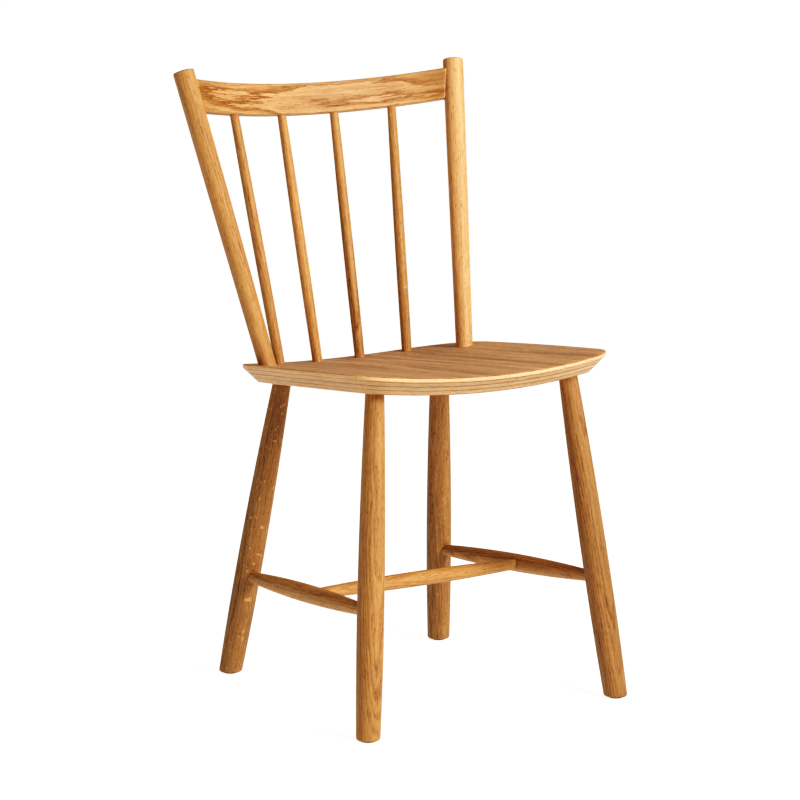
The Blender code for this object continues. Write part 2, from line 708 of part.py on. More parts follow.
def make_spindle(bench, name, pitches, sign, curve, material):
    """A spindle so many pitches from the middle. Returns the drills for its holes in seat and rail."""
    seat = seat_point(spindle_hole(pitches * SPINDLE_PITCH_AT_SEAT), sign)
    at_rail = curve.along_at(pitches * SPINDLE_PITCH_AT_RAIL) * sign
    under = curve.body_point(at_rail, 0.0, -RAIL_DEPTH / 2.0)
    length = (under - seat).length
    base, top = SPINDLE_BASE_DIAMETER / 2.0, SPINDLE_TOP_DIAMETER / 2.0
    radius = swelling(length, base, SPINDLE_BELLY_DIAMETER / 2.0, top, SPINDLE_BELLY_HEIGHT)
    steps = steps_to(length, SPINDLE_BELLY_HEIGHT, STEPS_BELOW_BELLY, STEPS_ABOVE_BELLY)
    high, low = length + SPINDLE_RAIL_TENON, -SPINDLE_SEAT_TENON
    profile = [(0.0, high), (top, high)]
    profile += [(radius(step), step) for step in reversed(steps)]
    profile += [(base, low), (0.0, low)]
    place = along_line(seat, under)
    bench.turned_piece(name, profile, SPINDLE_SIDES, material, place)
    low, high = low - HOLE_SPARE_DEPTH, high + HOLE_SPARE_DEPTH
    in_seat = bench.drill(name + "_seat_hole", base + GAP, low, CUTTER_OVERRUN, SPINDLE_SIDES, place)
    in_rail = bench.drill(name + "_rail_hole", top + GAP, length - CUTTER_OVERRUN, high, SPINDLE_SIDES, place)
    return in_seat, in_rail


def make_back(bench, materials):
    """Two posts, the crest rail and four spindles. Returns the drills for their holes in the seat."""
    curve = RailCurve(Post(1.0))
    rail = bench.piece("crest_rail", rail_mesh("crest_rail", curve), materials["rail"])
    seat_drills = []
    for side, sign in SIDES:
        post = Post(sign)
        name = f"back_post_{side}"
        item = post.make(bench, name, materials["post"])
        make_rail_joint(bench, rail, item, post, curve, side, sign)
        seat_drills.append(post.seat_drill(bench, name + "_hole"))
        for which, pitches in SPINDLES:
            name = f"spindle_{which}_{side}"
            in_seat, in_rail = make_spindle(bench, name, pitches, sign, curve, materials["spindle"])
            add_boolean(rail, "DIFFERENCE", in_rail)
            seat_drills.append(in_seat)
    return seat_drills


def make_materials():
    """The chair's woods and the glides' nylon."""
    return {
        "leg": new_material("turned oak, legs", (0.52, 0.28, 0.10), 0.48),
        "stretcher": new_material("turned oak, stretchers", (0.50, 0.26, 0.09), 0.48),
        "post": new_material("turned oak, posts", (0.58, 0.33, 0.13), 0.46),
        "spindle": new_material("turned oak, spindles", (0.52, 0.28, 0.10), 0.48),
        "rail": new_material("bent oak, crest rail", (0.60, 0.33, 0.12), 0.46),
        "thin ply": new_material("oak veneer, grain front to back", (0.45, 0.25, 0.10), 0.50),
        "thick ply": new_material("oak ply, grain across", (0.60, 0.36, 0.16), 0.55),
        "glide": new_material("nylon glide", (0.30, 0.22, 0.15), 0.40),
    }


def main():
    """Model the chair."""
    clear_scene()
    bench = Bench()
    materials = make_materials()
    drills = make_base(bench, materials)
    drills += make_back(bench, materials)
    make_seat(bench, materials, drills)
    bench.centre_on_origin()


main()
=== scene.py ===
"""A spindle-back dining chair in oiled oak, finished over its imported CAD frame.

Units are metres, +Z is up and the chair faces -Y. Every CAD node is replaced by a finely curved piece of
the same size. Shapes are worked out on the chair's plan, whose origin is the middle of the seat, and are
moved to the frame when they become meshes. Each wooden piece has a "grain" attribute, which says where
each of its points lay in the straight board that it was cut from, and the oak materials read it.
"""
import json
import math
from functools import partial

import bmesh
import bpy
import numpy as np
from bpy.props import FloatProperty, FloatVectorProperty, PointerProperty
from mathutils import Euler, Matrix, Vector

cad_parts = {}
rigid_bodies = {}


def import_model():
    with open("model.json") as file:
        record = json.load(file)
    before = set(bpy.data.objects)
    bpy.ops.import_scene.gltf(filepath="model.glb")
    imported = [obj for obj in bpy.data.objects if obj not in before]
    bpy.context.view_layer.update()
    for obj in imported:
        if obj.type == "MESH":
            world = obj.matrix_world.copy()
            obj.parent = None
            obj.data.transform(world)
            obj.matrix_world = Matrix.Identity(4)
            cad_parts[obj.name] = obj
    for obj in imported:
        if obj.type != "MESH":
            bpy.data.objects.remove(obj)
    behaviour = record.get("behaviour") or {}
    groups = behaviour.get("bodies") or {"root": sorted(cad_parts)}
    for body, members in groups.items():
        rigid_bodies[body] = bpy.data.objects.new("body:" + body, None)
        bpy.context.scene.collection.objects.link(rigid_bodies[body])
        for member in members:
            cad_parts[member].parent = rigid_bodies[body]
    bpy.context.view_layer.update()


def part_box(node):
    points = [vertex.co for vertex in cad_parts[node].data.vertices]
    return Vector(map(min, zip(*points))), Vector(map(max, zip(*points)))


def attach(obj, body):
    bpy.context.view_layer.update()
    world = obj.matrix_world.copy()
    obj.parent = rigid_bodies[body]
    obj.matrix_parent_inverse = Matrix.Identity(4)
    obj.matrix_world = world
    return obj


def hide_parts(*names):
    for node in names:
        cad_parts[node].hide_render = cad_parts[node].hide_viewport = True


bl_info = {
    "name": "Spindle-back chair",
    "version": (1, 0, 0),
    "blender": (4, 5, 0),
    "location": "View3D > Sidebar > Chair",
    "description": "Finishes a wooden dining chair over its packed frame",
    "category": "Object",
}

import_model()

SIDES = (("left", -1.0), ("right", 1.0))
CORNERS = [(where, side, sign) for where in ("front", "rear") for side, sign in SIDES]
# The spindles on one side, and how many pitches each is from the middle
SPINDLES = (("inner", 0.5), ("outer", 1.5))

# How finely curved work is divided: turned pieces and their rounded edges and crowns, the seat's outline,
# its face and the round along its edge, and the rail, which is divided most finely near its ends, with
# its corners and faces
TURNED_SIDES, TURNED_STEPS = 64, 60
ROUND_STEPS, CROWN_STEPS = 6, 9
OUTLINE_STEPS = (20, 24, 20, 24, 24)
SEAT_STEPS, EDGE_STEPS = 25, 8
RAIL_STEPS, RAIL_END_STEPS = 120, 60
CORNER_STEPS, FACE_STEPS = 6, 7
RAIL_END = 0.030
# Rings this near to where the seat's land turns into its bevel keep that edge crisp
NEAR_LAND = 0.0003
SHARP_ANGLE = math.radians(35.0)
# How far a corner may be from the line between its neighbours, as a share of their distance
OUT_OF_LINE = 0.00005

# The visible width of a glue line, and of the line round a joint
GLUE_LINE = 0.00006
JOINT_LINE = 0.00015
# The room past a tenon's end, and how far a boring bar stands out of the wood
END_ROOM = 0.0005
BAR_OUT = 0.02
# The share of a leg's tenon that is left once its end is cut level
LEVEL_TENON = 0.8
# How far back into the rail its tenon is rooted, and how far down a post the rail's end is fitted to it
TENON_ROOT = 0.026
COPE_REACH, COPE_STEPS = 0.12, 7
# How wide a nail's point is, as a share of the nail
NAIL_POINT = 0.15

# How far apart the rings of pores are in turned pieces, in thick plies and the rail, and in thin plies
RING = 0.0032
WIDE_RING = 0.0036
VENEER_RING = 0.0044
# How dark the pores are from one ring to the next, from 0 to 1, by the share of the way
RING_SHADES = ((0.0, 0.75), (0.10, 1.0), (0.45, 0.40), (0.80, 0.05), (0.95, 0.0), (1.0, 0.75))

# The plies from the top down, and how pale the wood of each is. The three lower thick plies, at 0.735, are
# darker as painted shade on the bevel under the land, which faces down.
PLIES = (
    ("top_veneer", 1.12),
    ("thick", 1.0),
    ("thin", 1.12),
    ("thick", 0.735),
    ("thin", 1.00),
    ("thick", 0.735),
    ("thin", 1.22),
    ("thick", 0.735),
    ("bottom_veneer", 1.12),
)

# How each turned piece was cut from its board: how far it was from the tree's heart, on which bearing in
# degrees, how fast it drew away from the heart along its length, and how far up the tree it was. Then how
# pale its wood is, how strong its rings are and how strong its flecks of ray are.
BLANKS = {
    "leg_front_left": (0.050, 272.0, 0.036, 0.00, 0.91, 1.1, 0.4),
    "leg_front_right": (0.060, 285.0, 0.030, 0.90, 0.70, 1.2, 0.3),
    "leg_rear_left": (0.070, 164.0, 0.006, 1.80, 0.68, 0.9, 2.4),
    "leg_rear_right": (0.055, 200.0, 0.012, 2.70, 0.70, 0.9, 0.8),
    "side_stretcher_left": (0.060, 80.0, 0.018, 3.60, 1.06, 0.9, 0.5),
    "side_stretcher_right": (0.050, 160.0, 0.018, 4.50, 0.93, 1.0, 0.8),
    "cross_stretcher": (0.080, 240.0, 0.018, 5.40, 0.98, 1.1, 0.5),
    "back_post_left": (0.090, 320.0, 0.010, 6.30, 0.92, 0.9, 0.4),
    # The right post is cut from paler wood, and part of its paleness of 1.20 is painted light, for the
    # stronger light on the chair's right side
    "back_post_right": (0.080, 330.0, 0.008, 7.20, 1.20, 0.6, 0.3),
    "spindle_outer_left": (0.060, 40.0, 0.018, 8.10, 0.86, 0.9, 0.8),
    "spindle_inner_left": (0.070, 140.0, 0.016, 9.00, 1.02, 0.9, 0.4),
    "spindle_inner_right": (0.050, 250.0, 0.022, 9.90, 0.86, 1.2, 0.8),
    "spindle_outer_right": (0.080, 330.0, 0.014, 10.80, 0.84, 0.9, 1.2),
}
# Where the plies and the rail lay in theirs: from the heart, in one or two directions, and up the tree
PLY_HEART, PLY_UP = 0.09, 12.0
RAIL_BOARD = (0.11, 0.004, 36.28)

# The inputs of a noise node, and the inputs, output and setting of a node that mixes colours
NOISE = ("Vector", "Scale", "Detail", "Roughness")
MIX = {"to": (0, 6, 7), "out": 2, "data_type": "RGBA"}

# The photograph's tone curve: how strong each light is shown
TONES = ((0.04, 0.008), (0.08, 0.026), (0.16, 0.099), (0.28, 0.255), (0.50, 0.540), (0.75, 0.795))
WHITE_TONE = (1.0, 0.955)

# The photograph's view: the lens and sensor in millimetres, the camera's place, its turns in degrees, and
# how far it sees
LENS, SENSOR = 142.69, 36.0
CAMERA_PLACE = (-2.26702, -3.53100, 1.11572)
CAMERA_TILT, CAMERA_TURN, CAMERA_ROLL = 80.154, -32.740, -0.101
FAR = 200.0
# The floor's disc
FLOOR_RADIUS, FLOOR_SIDES = 60.0, 96
# The soft light's place and the point that it faces
KEY_PLACE, KEY_TARGET = (0.85, -2.75, 1.60), (0.0, 0.20, 0.68)


def linear(hex_colour):
    """The linear colour of an sRGB hex value."""
    parts = np.array([int(hex_colour[i : i + 2], 16) / 255.0 for i in (1, 3, 5)])
    return tuple(np.where(parts > 0.04045, ((parts + 0.055) / 1.055) ** 2.4, parts / 12.92).tolist())


def length(name, default, description):
    """A size in metres that a user may change."""
    return FloatProperty(
        name=name, description=description, default=default, min=0.0, precision=4, subtype="DISTANCE"
    )


def angle(name, degrees, description):
    """An angle that a user may change."""
    return FloatProperty(name=name, description=description, default=math.radians(degrees), subtype="ANGLE")


def colour(name, default, description):
    """A colour that a user may change, from an sRGB hex value."""
    return FloatVectorProperty(
        name=name, description=description, default=linear(default), min=0.0, max=1.0, subtype="COLOR"
    )


class SeatSizes(bpy.types.PropertyGroup):
    """The pressed seat: its outline, its hollow and its edge."""

    width: length("Width", 0.3868, "Between the front corners")
    depth: length("Depth", 0.4336, "Between the middles of the front and back edges")
    height: length("Height", 0.4379, "Top of the seat at its middle, over the floor")
    thickness: length("Thickness", 0.0232, "All nine plies together")
    thin_ply: length("Thin ply", 0.0010, "A ply with its grain front to back")
    hollow_radius: length("Hollow radius", 1.321, "Radius of the hollow across the seat")
    fall: angle("Fall", 4.94, "Angle down towards the back")
    narrowing: length("Narrowing", 0.0148, "How much narrower the back is than the front")
    front_bow: length("Front bow", 0.0227, "How far the front edge stands out")
    back_bow: length("Back bow", 0.0549, "How far the back edge stands out")
    side_bow: length("Side bow", 0.0055, "How far a side edge stands out")
    front_round: length("Front corner radius", 0.045, "Radius of the front corners in plan")
    back_round: length("Back corner radius", 0.120, "Radius of the back corners in plan")
    top_round: length("Top round", 0.0018, "Radius of the round along the top edge")
    land: length("Land", 0.0048, "Depth of the round and the upright land under it")
    bevel: length("Bevel", 0.0205, "Width of the bevel under the land")


class LegSizes(bpy.types.PropertyGroup):
    """The turned legs and their glides."""

    front_in: length("Front hole in", 0.0431, "From the seat's side corner to a front leg's hole")
    front_back: length("Front hole back", 0.0696, "From the seat's front to a front leg's hole")
    front_out: length("Front splay out", 0.0452, "From a front leg's hole out to its foot")
    front_forward: length("Front splay forward", 0.0533, "From a front leg's hole forward to its foot")
    rear_in: length("Rear hole in", 0.0592, "From the seat's side corner to a rear leg's hole")
    rear_forward: length("Rear hole forward", 0.0935, "From the seat's back to a rear leg's hole")
    rear_out: length("Rear splay out", 0.0451, "From a rear leg's hole out to its foot")
    rear_back: length("Rear splay back", 0.0705, "From a rear leg's hole back to its foot")
    foot: length("Foot diameter", 0.0312, "At the floor")
    belly: length("Belly diameter", 0.0350, "At its fullest")
    belly_height: length("Belly height", 0.145, "Along the leg from the floor")
    top: length("Top diameter", 0.0246, "At the seat")
    tenon: length("Tenon", 0.0150, "Length let into the seat")
    foot_round: length("Foot round", 0.0030, "Radius round the foot")
    glide: length("Glide diameter", 0.019, "The disc under a foot")
    glide_thickness: length("Glide thickness", 0.0018, "The disc under a foot")
    glide_round: length("Glide edge", 0.0006, "Radius round the disc's lower edge")
    nail: length("Nail diameter", 0.0034, "The glide's nail")
    nail_length: length("Nail length", 0.014, "The glide's nail")


class StretcherSizes(bpy.types.PropertyGroup):
    """The turned stretchers."""

    front_height: length("Front height", 0.1622, "Side stretcher's middle at the front leg")
    rear_height: length("Rear height", 0.1387, "Side stretcher's middle at the rear leg")
    belly: length("Side belly", 0.0246, "A side stretcher at its fullest")
    end: length("Side end", 0.0150, "A side stretcher's end and tenon")
    tenon: length("Side tenon", 0.0200, "Length let into a leg")
    cross_at: length("Cross at", 0.165, "Along a side stretcher from the front leg's middle")
    cross_belly: length("Cross belly", 0.0206, "The cross stretcher at its fullest")
    cross_end: length("Cross end", 0.0140, "The cross stretcher's end and tenon")
    cross_tenon: length("Cross tenon", 0.0150, "Length let into a side stretcher")


class BackSizes(bpy.types.PropertyGroup):
    """The posts, the crest rail and the spindles."""

    post_in: length("Post hole in", 0.0280, "From the seat's side corner to a post's hole")
    post_forward: length("Post hole forward", 0.1089, "From the seat's back to a post's hole")
    post_out: length("Post lean out", 0.0581, "From a post's hole out to its top")
    post_back: length("Post lean back", 0.1166, "From a post's hole back to its top")
    post_height: length("Post height", 0.8251, "Middle of a post's top over the floor")
    post_base: length("Post base", 0.0234, "Diameter at the seat")
    post_top: length("Post top", 0.0287, "Diameter at the top")
    post_swell: length("Post swell", 0.0003, "How far a post is fuller than a plain taper")
    post_round: length("Post end round", 0.0016, "Radius round the top end")
    post_crown: length("Post crown", 0.0014, "How far the top end's middle stands over its rim")
    post_tenon: length("Post tenon", 0.0150, "Length let into the seat")
    rail_drop: length("Rail drop", 0.0330, "From a post's top down to the rail's middle")
    rail_sag: length("Rail sag", 0.0537, "How far the rail bows back")
    rail_rise: length("Rail end rise", 0.0180, "How far the rail's ends are over its middle")
    rail_lean: angle("Rail lean", 14.0, "Angle of the rail's face back from upright")
    rail_depth: length("Rail depth", 0.0432, "Up its face")
    rail_thickness: length("Rail thickness", 0.0180, "Front to back")
    rail_round: length("Rail edge round", 0.0026, "Radius along its long edges")
    rail_end_round: length("Rail end round", 0.0022, "Radius where it meets the posts")
    rail_tenon_depth: length("Rail tenon depth", 0.0320, "Up its face")
    rail_tenon_thickness: length("Rail tenon thickness", 0.0090, "Front to back")
    rail_tenon_past: length("Rail tenon reach", 0.0060, "Past a post's middle")
    spindle_pitch_seat: length("Spindle pitch at seat", 0.0685, "Between spindles at the seat")
    spindle_pitch_rail: length("Spindle pitch at rail", 0.0841, "Between spindles at the rail")
    spindle_in: length("Spindle from back", 0.0315, "From the seat's back edge to a spindle's hole")
    spindle_base: length("Spindle base", 0.0140, "Diameter at the seat")
    spindle_belly: length("Spindle belly", 0.0150, "Diameter at its fullest")
    spindle_belly_height: length("Spindle belly height", 0.115, "Along a spindle from the seat")
    spindle_top: length("Spindle top", 0.0121, "Diameter at the rail")
    spindle_seat_tenon: length("Spindle seat tenon", 0.0150, "Length let into the seat")
    spindle_rail_tenon: length("Spindle rail tenon", 0.0200, "Length let into the rail")


class OakColours(bpy.types.PropertyGroup):
    """Colours of the oiled oak and the glides. Late wood lies between the rings of pores."""

    legs_late: colour("Legs, late wood", "#B38758", "Legs and stretchers")
    legs_early: colour("Legs, pore rings", "#84532B", "Legs and stretchers")
    back_late: colour("Back, late wood", "#BA8D5E", "Left post and spindles")
    back_early: colour("Back, pore rings", "#8E6135", "Left post and spindles")
    pale_late: colour("Paler board, late wood", "#BC9268", "Rail and right post")
    pale_early: colour("Paler board, pore rings", "#865A31", "Rail and right post")
    veneer_late: colour("Veneer, late wood", "#C39A75", "Top and bottom of the seat")
    veneer_early: colour("Veneer, pore rings", "#9A6B45", "Top and bottom of the seat")
    core_late: colour("Thin plies, late wood", "#9A7758", "Thin plies inside the seat")
    core_early: colour("Thin plies, pore rings", "#785131", "Thin plies inside the seat")
    ply_late: colour("Thick plies, late wood", "#D1AE89", "Thick plies of the seat")
    ply_early: colour("Thick plies, pore rings", "#B68959", "Thick plies of the seat")
    ply_end: colour("Thick plies, cut ends", "#D9AC7E", "Thick plies of the seat")
    end_grain: colour("Cut ends", "#8E6232", "The cut ends of all other pieces")
    pores: colour("Pores", "#BCA68C", "What the wood's colour is multiplied by at a pore")
    rays: colour("Rays", "#7C6545", "What a fleck of ray adds to the wood's colour")
    glide: colour("Glides", "#6F5A45", "Nylon of the glides")


class StageSettings(bpy.types.PropertyGroup):
    """The floor and the lights."""

    floor: colour("Floor", "#A0A0A0", "The studio floor's opal sheet")
    key: FloatProperty(name="Key light", description="The light from the front", default=37.0, unit="POWER")
    fill: FloatProperty(name="Surround", description="Brightness of the white surround", default=0.6)


class ChairSettings(bpy.types.PropertyGroup):
    """All the sizes and colours of the chair."""

    seat: PointerProperty(type=SeatSizes)
    legs: PointerProperty(type=LegSizes)
    stretchers: PointerProperty(type=StretcherSizes)
    back: PointerProperty(type=BackSizes)
    oak: PointerProperty(type=OakColours)
    stage: PointerProperty(type=StageSettings)


# Shapes on the chair's plan


def unit(vector):
    """A vector of length one."""
    return vector / np.linalg.norm(vector)


def lay_out(line):
    """A middle line's start, three unit vectors, two across it and one along it, and its length."""
    start, end = line
    along = unit(end - start)
    guide = np.array((0.0, 0.0, 1.0) if abs(along[1]) > 0.7 else (0.0, 1.0, 0.0))
    across = unit(np.cross(guide, along))
    return start, np.array((across, np.cross(along, across), along)), np.linalg.norm(end - start)


def seat_rise(seat, x, y):
    """Height of the seat's top: a parabola across the seat, less the fall towards the back."""
    return seat.height + x ** 2 / (2.0 * seat.hollow_radius) - y * math.tan(seat.fall)


def seat_point(seat, spot, sign, depth=0.0):
    """A point on the top of the seat, or a depth under it."""
    x, y = spot[0] * sign, spot[1]
    return np.array((x, y, seat_rise(seat, x, y) - depth))


def front_corner(seat):
    """Plan of the seat's right front corner, before it is rounded."""
    return np.array((seat.width / 2.0, seat.front_bow - seat.depth / 2.0))


def back_corner(seat):
    """Plan of the seat's right back corner, before it is rounded."""
    return np.array(((seat.width - seat.narrowing) / 2.0, seat.depth / 2.0 - seat.back_bow))


def cross_arc(middle_y, corner):
    """Centre and radius of the arc through a point on the middle line and both mirrored corners."""
    rise = abs(middle_y - corner[1])
    radius = (corner[0] ** 2 + rise ** 2) / (2.0 * rise)
    return np.array((0.0, middle_y - math.copysign(radius, middle_y - corner[1]))), radius


def side_arc(start, end, bow):
    """Centre and radius of the arc between two corners whose middle stands out by bow."""
    half = np.linalg.norm(end - start) / 2.0
    radius = (half ** 2 + bow ** 2) / (2.0 * bow)
    forward = (end - start) / (2.0 * half)
    return (start + end) / 2.0 + np.array((forward[1], -forward[0])) * (radius - bow), radius


def corner_arc(first, second, radius, corner):
    """Centre and radius of the round that touches two arcs from inside, by their corner."""
    (centre_a, radius_a), (centre_b, radius_b) = first, second
    reach_a, reach_b = radius_a - radius, radius_b - radius
    apart = np.linalg.norm(centre_b - centre_a)
    across = (centre_b - centre_a) / apart
    along = (apart ** 2 + reach_a ** 2 - reach_b ** 2) / (2.0 * apart)
    aside = math.sqrt(reach_a ** 2 - along ** 2) * np.array((-across[1], across[0]))
    options = [centre_a + across * along + aside, centre_a + across * along - aside]
    return min(options, key=lambda point: np.linalg.norm(point - corner)), radius


def bearing(start, end):
    """The bearing of one point of the plan from another."""
    return math.atan2(end[1] - start[1], end[0] - start[0])


def seat_outline(seat, inset):
    """The seat's outline in plan, drawn in by inset: five arcs a side, each point at its arc's centre plus
    the arc's radius less the inset, turned by an angle that runs from one arc's end to the other."""
    back = cross_arc(seat.depth / 2.0, back_corner(seat))
    front = cross_arc(-seat.depth / 2.0, front_corner(seat))
    side = side_arc(back_corner(seat), front_corner(seat), seat.side_bow)
    back_round = corner_arc(back, side, seat.back_round, back_corner(seat))
    front_round = corner_arc(front, side, seat.front_round, front_corner(seat))
    turns = (
        math.pi / 2.0,
        bearing(back[0], back_round[0]),
        bearing(side[0], back_round[0]),
        bearing(side[0], front_round[0]),
        bearing(front[0], front_round[0]),
        -math.pi / 2.0,
    )
    half = []
    arcs = (back, back_round, side, front_round, front)
    for (centre, radius), steps, start, end in zip(arcs, OUTLINE_STEPS, turns[:-1], turns[1:]):
        turn = np.linspace(start, end, steps + 1)[:-1, None]
        half.append(centre + (radius - inset) * np.hstack((np.cos(turn), np.sin(turn))))
    half.append(front[0][None] - (0.0, front[1] - inset))
    half = np.vstack(half)
    return np.vstack((half, half[-2:0:-1] * (-1.0, 1.0)))


def edge_inset(seat, depth):
    """How far the seat's edge is drawn in at a depth: a quarter round, an upright land and a bevel."""
    if depth < seat.top_round:
        return seat.top_round - math.sqrt(seat.top_round ** 2 - (seat.top_round - depth) ** 2)
    return seat.bevel * max(0.0, depth - seat.land) / (seat.thickness - seat.land)


def swelling(along, span, start, belly, end, belly_at):
    """Radius along a turned piece: the belly's, less a share of the square of the way to either end."""
    before = ((belly_at - along) / belly_at).clip(0.0, None) ** 2
    after = ((along - belly_at) / (span - belly_at)).clip(0.0, None) ** 2
    return belly - (belly - start) * before - (belly - end) * after


def circle(axes):
    """Unit vectors all round an axis."""
    turn = np.arange(TURNED_SIDES) * math.tau / TURNED_SIDES
    return np.cos(turn)[:, None] * axes[0] + np.sin(turn)[:, None] * axes[1]


def turned_rows(along, radius, start, axes):
    """Rings of a turned piece: at each distance along the axis, a circle of that radius across it."""
    along, radius = np.asarray(along)[:, None, None], np.asarray(radius)[:, None, None]
    return start + radius * circle(axes) + along * axes[2]


def round_in(radius, fillet):
    """Radii and heights over an end for a rounded edge: the quarter circle of the fillet."""
    turn = np.linspace(0.0, math.pi / 2.0, ROUND_STEPS)
    return radius - fillet * (1.0 - np.sin(turn)), fillet * (1.0 - np.cos(turn))


def skin(rows, poles=None):
    """Corners and faces of a closed body: rings joined by four-sided faces, and a fan of triangles from
    each end ring to its pole, which is the ring's middle unless given. The faces are turned over if the
    body's volume, summed from its corners, comes out negative."""
    count, sides = rows.shape[:2]
    poles = np.array((rows[0].mean(0), rows[-1].mean(0))) if poles is None else poles
    corners = np.vstack((rows.reshape(-1, 3), poles))
    ring = np.arange(sides)
    after = np.roll(ring, -1)
    base = (np.arange(count - 1) * sides)[:, None]
    quads = np.stack((base + ring, base + after, base + sides + after, base + sides + ring), -1)
    quads = quads.reshape(-1, 4)
    last = (count - 1) * sides
    start = np.stack((np.full(sides, count * sides), after, ring), -1)
    end = np.stack((np.full(sides, count * sides + 1), last + ring, last + after), -1)
    first, second, third = corners[np.vstack((quads[:, :3], quads[:, (0, 2, 3)], start, end)).T]
    turn = -1 if np.einsum("ij,ij->", first, np.cross(second, third)) < 0.0 else 1
    return corners, [face[::turn] for face in quads.tolist() + start.tolist() + end.tolist()]


def hole(line, diameter, low, high):
    """A round bar along a middle line that bores a hole for a tenon, with room for the joint's line."""
    start, axes, _ = lay_out(line)
    return skin(turned_rows((low, high), (diameter / 2.0 + JOINT_LINE,) * 2, start, axes))


# The chair's lines


def leg_line(chair, where, sign):
    """Start on the floor and end under the seat of a leg's middle line."""
    seat, legs = chair.seat, chair.legs
    if where == "front":
        top = front_corner(seat)[0] - legs.front_in, legs.front_back - seat.depth / 2.0
        foot = top[0] + legs.front_out, top[1] - legs.front_forward
    else:
        top = back_corner(seat)[0] - legs.rear_in, seat.depth / 2.0 - legs.rear_forward
        foot = top[0] + legs.rear_out, top[1] + legs.rear_back
    return np.array((foot[0] * sign, foot[1], 0.0)), seat_point(seat, top, sign, seat.thickness)


def leg_radius(legs, along, span):
    """A leg's radius at distances from the floor."""
    return swelling(along, span, legs.foot / 2.0, legs.belly / 2.0, legs.top / 2.0, legs.belly_height)


def at_height(line, height):
    """The point of a leg's middle line at a height."""
    start, end = line
    return start + (end - start) * height / end[2]


def stretcher_line(chair, sign):
    """Where a side stretcher's middle line meets those of its legs, and how far in its shoulders are."""
    points, insets = [], []
    for where, height in (("front", chair.stretchers.front_height), ("rear", chair.stretchers.rear_height)):
        line = leg_line(chair, where, sign)
        points.append(at_height(line, height))
        along = np.linalg.norm(points[-1] - line[0])
        insets.append(float(leg_radius(chair.legs, along, lay_out(line)[2])))
    return points, insets


def cross_line(chair):
    """The cross stretcher's ends on the side stretchers' middle lines, and its shoulders' insets, which
    are the side stretcher's radius there."""
    sizes, points = chair.stretchers, []
    for _, sign in SIDES:
        line, (first, last) = stretcher_line(chair, sign)
        start, axes, span = lay_out(line)
        points.append(start + axes[2] * sizes.cross_at)
        span = span - first - last
        end = sizes.end / 2.0
        inset = swelling(np.array(sizes.cross_at - first), span, end, sizes.belly / 2.0, end, span / 2.0)
    return points, [float(inset)] * 2


def post_line(chair, sign):
    """A post's middle line, from the seat's top to the post's own top."""
    seat, back = chair.seat, chair.back
    foot = back_corner(seat)[0] - back.post_in, seat.depth / 2.0 - back.post_forward
    top = np.array(((foot[0] + back.post_out) * sign, foot[1] + back.post_back, back.post_height))
    return seat_point(seat, foot, sign), top


def post_radius(back, along, span):
    """A post's radius: a straight taper with a slight swell, fullest half way."""
    share = along / span
    taper = (back.post_base + (back.post_top - back.post_base) * share) / 2.0
    return taper + back.post_swell * 4.0 * share * (1.0 - share)


class RailCurve:
    """The crest rail's middle line: an arc in plan through both posts, falling towards its middle."""

    def __init__(self, chair):
        self.back = chair.back
        low, top = post_line(chair, 1.0)
        self.end = top + unit(low - top) * self.back.rail_drop
        self.radius = (self.end[0] ** 2 + self.back.rail_sag ** 2) / (2.0 * self.back.rail_sag)
        self.half = self.radius * math.asin(self.end[0] / self.radius)
        self.up = np.array((0.0, math.sin(self.back.rail_lean), math.cos(self.back.rail_lean)))

    def point(self, along):
        """Middle line at arc lengths from its middle: x is the sine and y the cosine of the turn, and
        the height rises with the way forward."""
        turn = np.asarray(along, float) / self.radius
        forward = self.radius * (1.0 - np.cos(turn))
        rise = self.back.rail_rise * forward / self.back.rail_sag
        x, y = self.radius * np.sin(turn), self.end[1] + self.back.rail_sag - forward
        return np.stack((x, y, self.end[2] - self.back.rail_rise + rise), -1)

    def directions(self, along):
        """Unit vectors at arc lengths: along the rail, to its back face and up its face."""
        turn = np.asarray(along, float) / self.radius
        slope = self.back.rail_rise / self.back.rail_sag
        tangent = np.stack((np.cos(turn), -np.sin(turn), slope * np.sin(turn)), -1)
        tangent /= np.linalg.norm(tangent, axis=-1, keepdims=True)
        to_back = np.cross(self.up, tangent)
        to_back /= np.linalg.norm(to_back, axis=-1, keepdims=True)
        return tangent, to_back, np.cross(tangent, to_back)

    def bend(self, board):
        """Where points of the flat board lie once it is bent. Their parts are along, back and up."""
        _, to_back, to_top = self.directions(board[..., 0])
        return self.point(board[..., 0]) + to_back * board[..., 1:2] + to_top * board[..., 2:3]

    def unbend(self, points):
        """Board points of the rail: across its thickness and depth from the heart, and along it. The
        arc length is guessed from the turn in plan, then corrected by what is left along the rail."""
        centre_y = self.end[1] + self.back.rail_sag - self.radius
        along = self.radius * np.arctan2(points[:, 0], points[:, 1] - centre_y)
        for _ in range(4):
            tangent, to_back, to_top = self.directions(along)
            left = points - self.point(along)
            along = along + np.einsum("ij,ij->i", left, tangent)
        across = [np.einsum("ij,ij->i", left, way) for way in (to_back, to_top)]
        return np.stack((*across, -along), -1) + RAIL_BOARD

    def spindle_end(self, pitches, sign):
        """The middle of a spindle's hole in the rail's underside."""
        x = pitches * self.back.spindle_pitch_rail
        along = self.radius * math.asin(x / self.radius) * sign
        return self.bend(np.array((along, 0.0, -self.back.rail_depth / 2.0)))


def spindle_line(chair, pitches, sign):
    """A spindle's middle line, from the seat's top to the rail's underside."""
    seat, back = chair.seat, chair.back
    x = pitches * back.spindle_pitch_seat
    centre, radius = cross_arc(seat.depth / 2.0, back_corner(seat))
    foot = x, centre[1] + math.sqrt(radius ** 2 - x ** 2) - back.spindle_in
    return seat_point(seat, foot, sign), RailCurve(chair).spindle_end(pitches, sign)


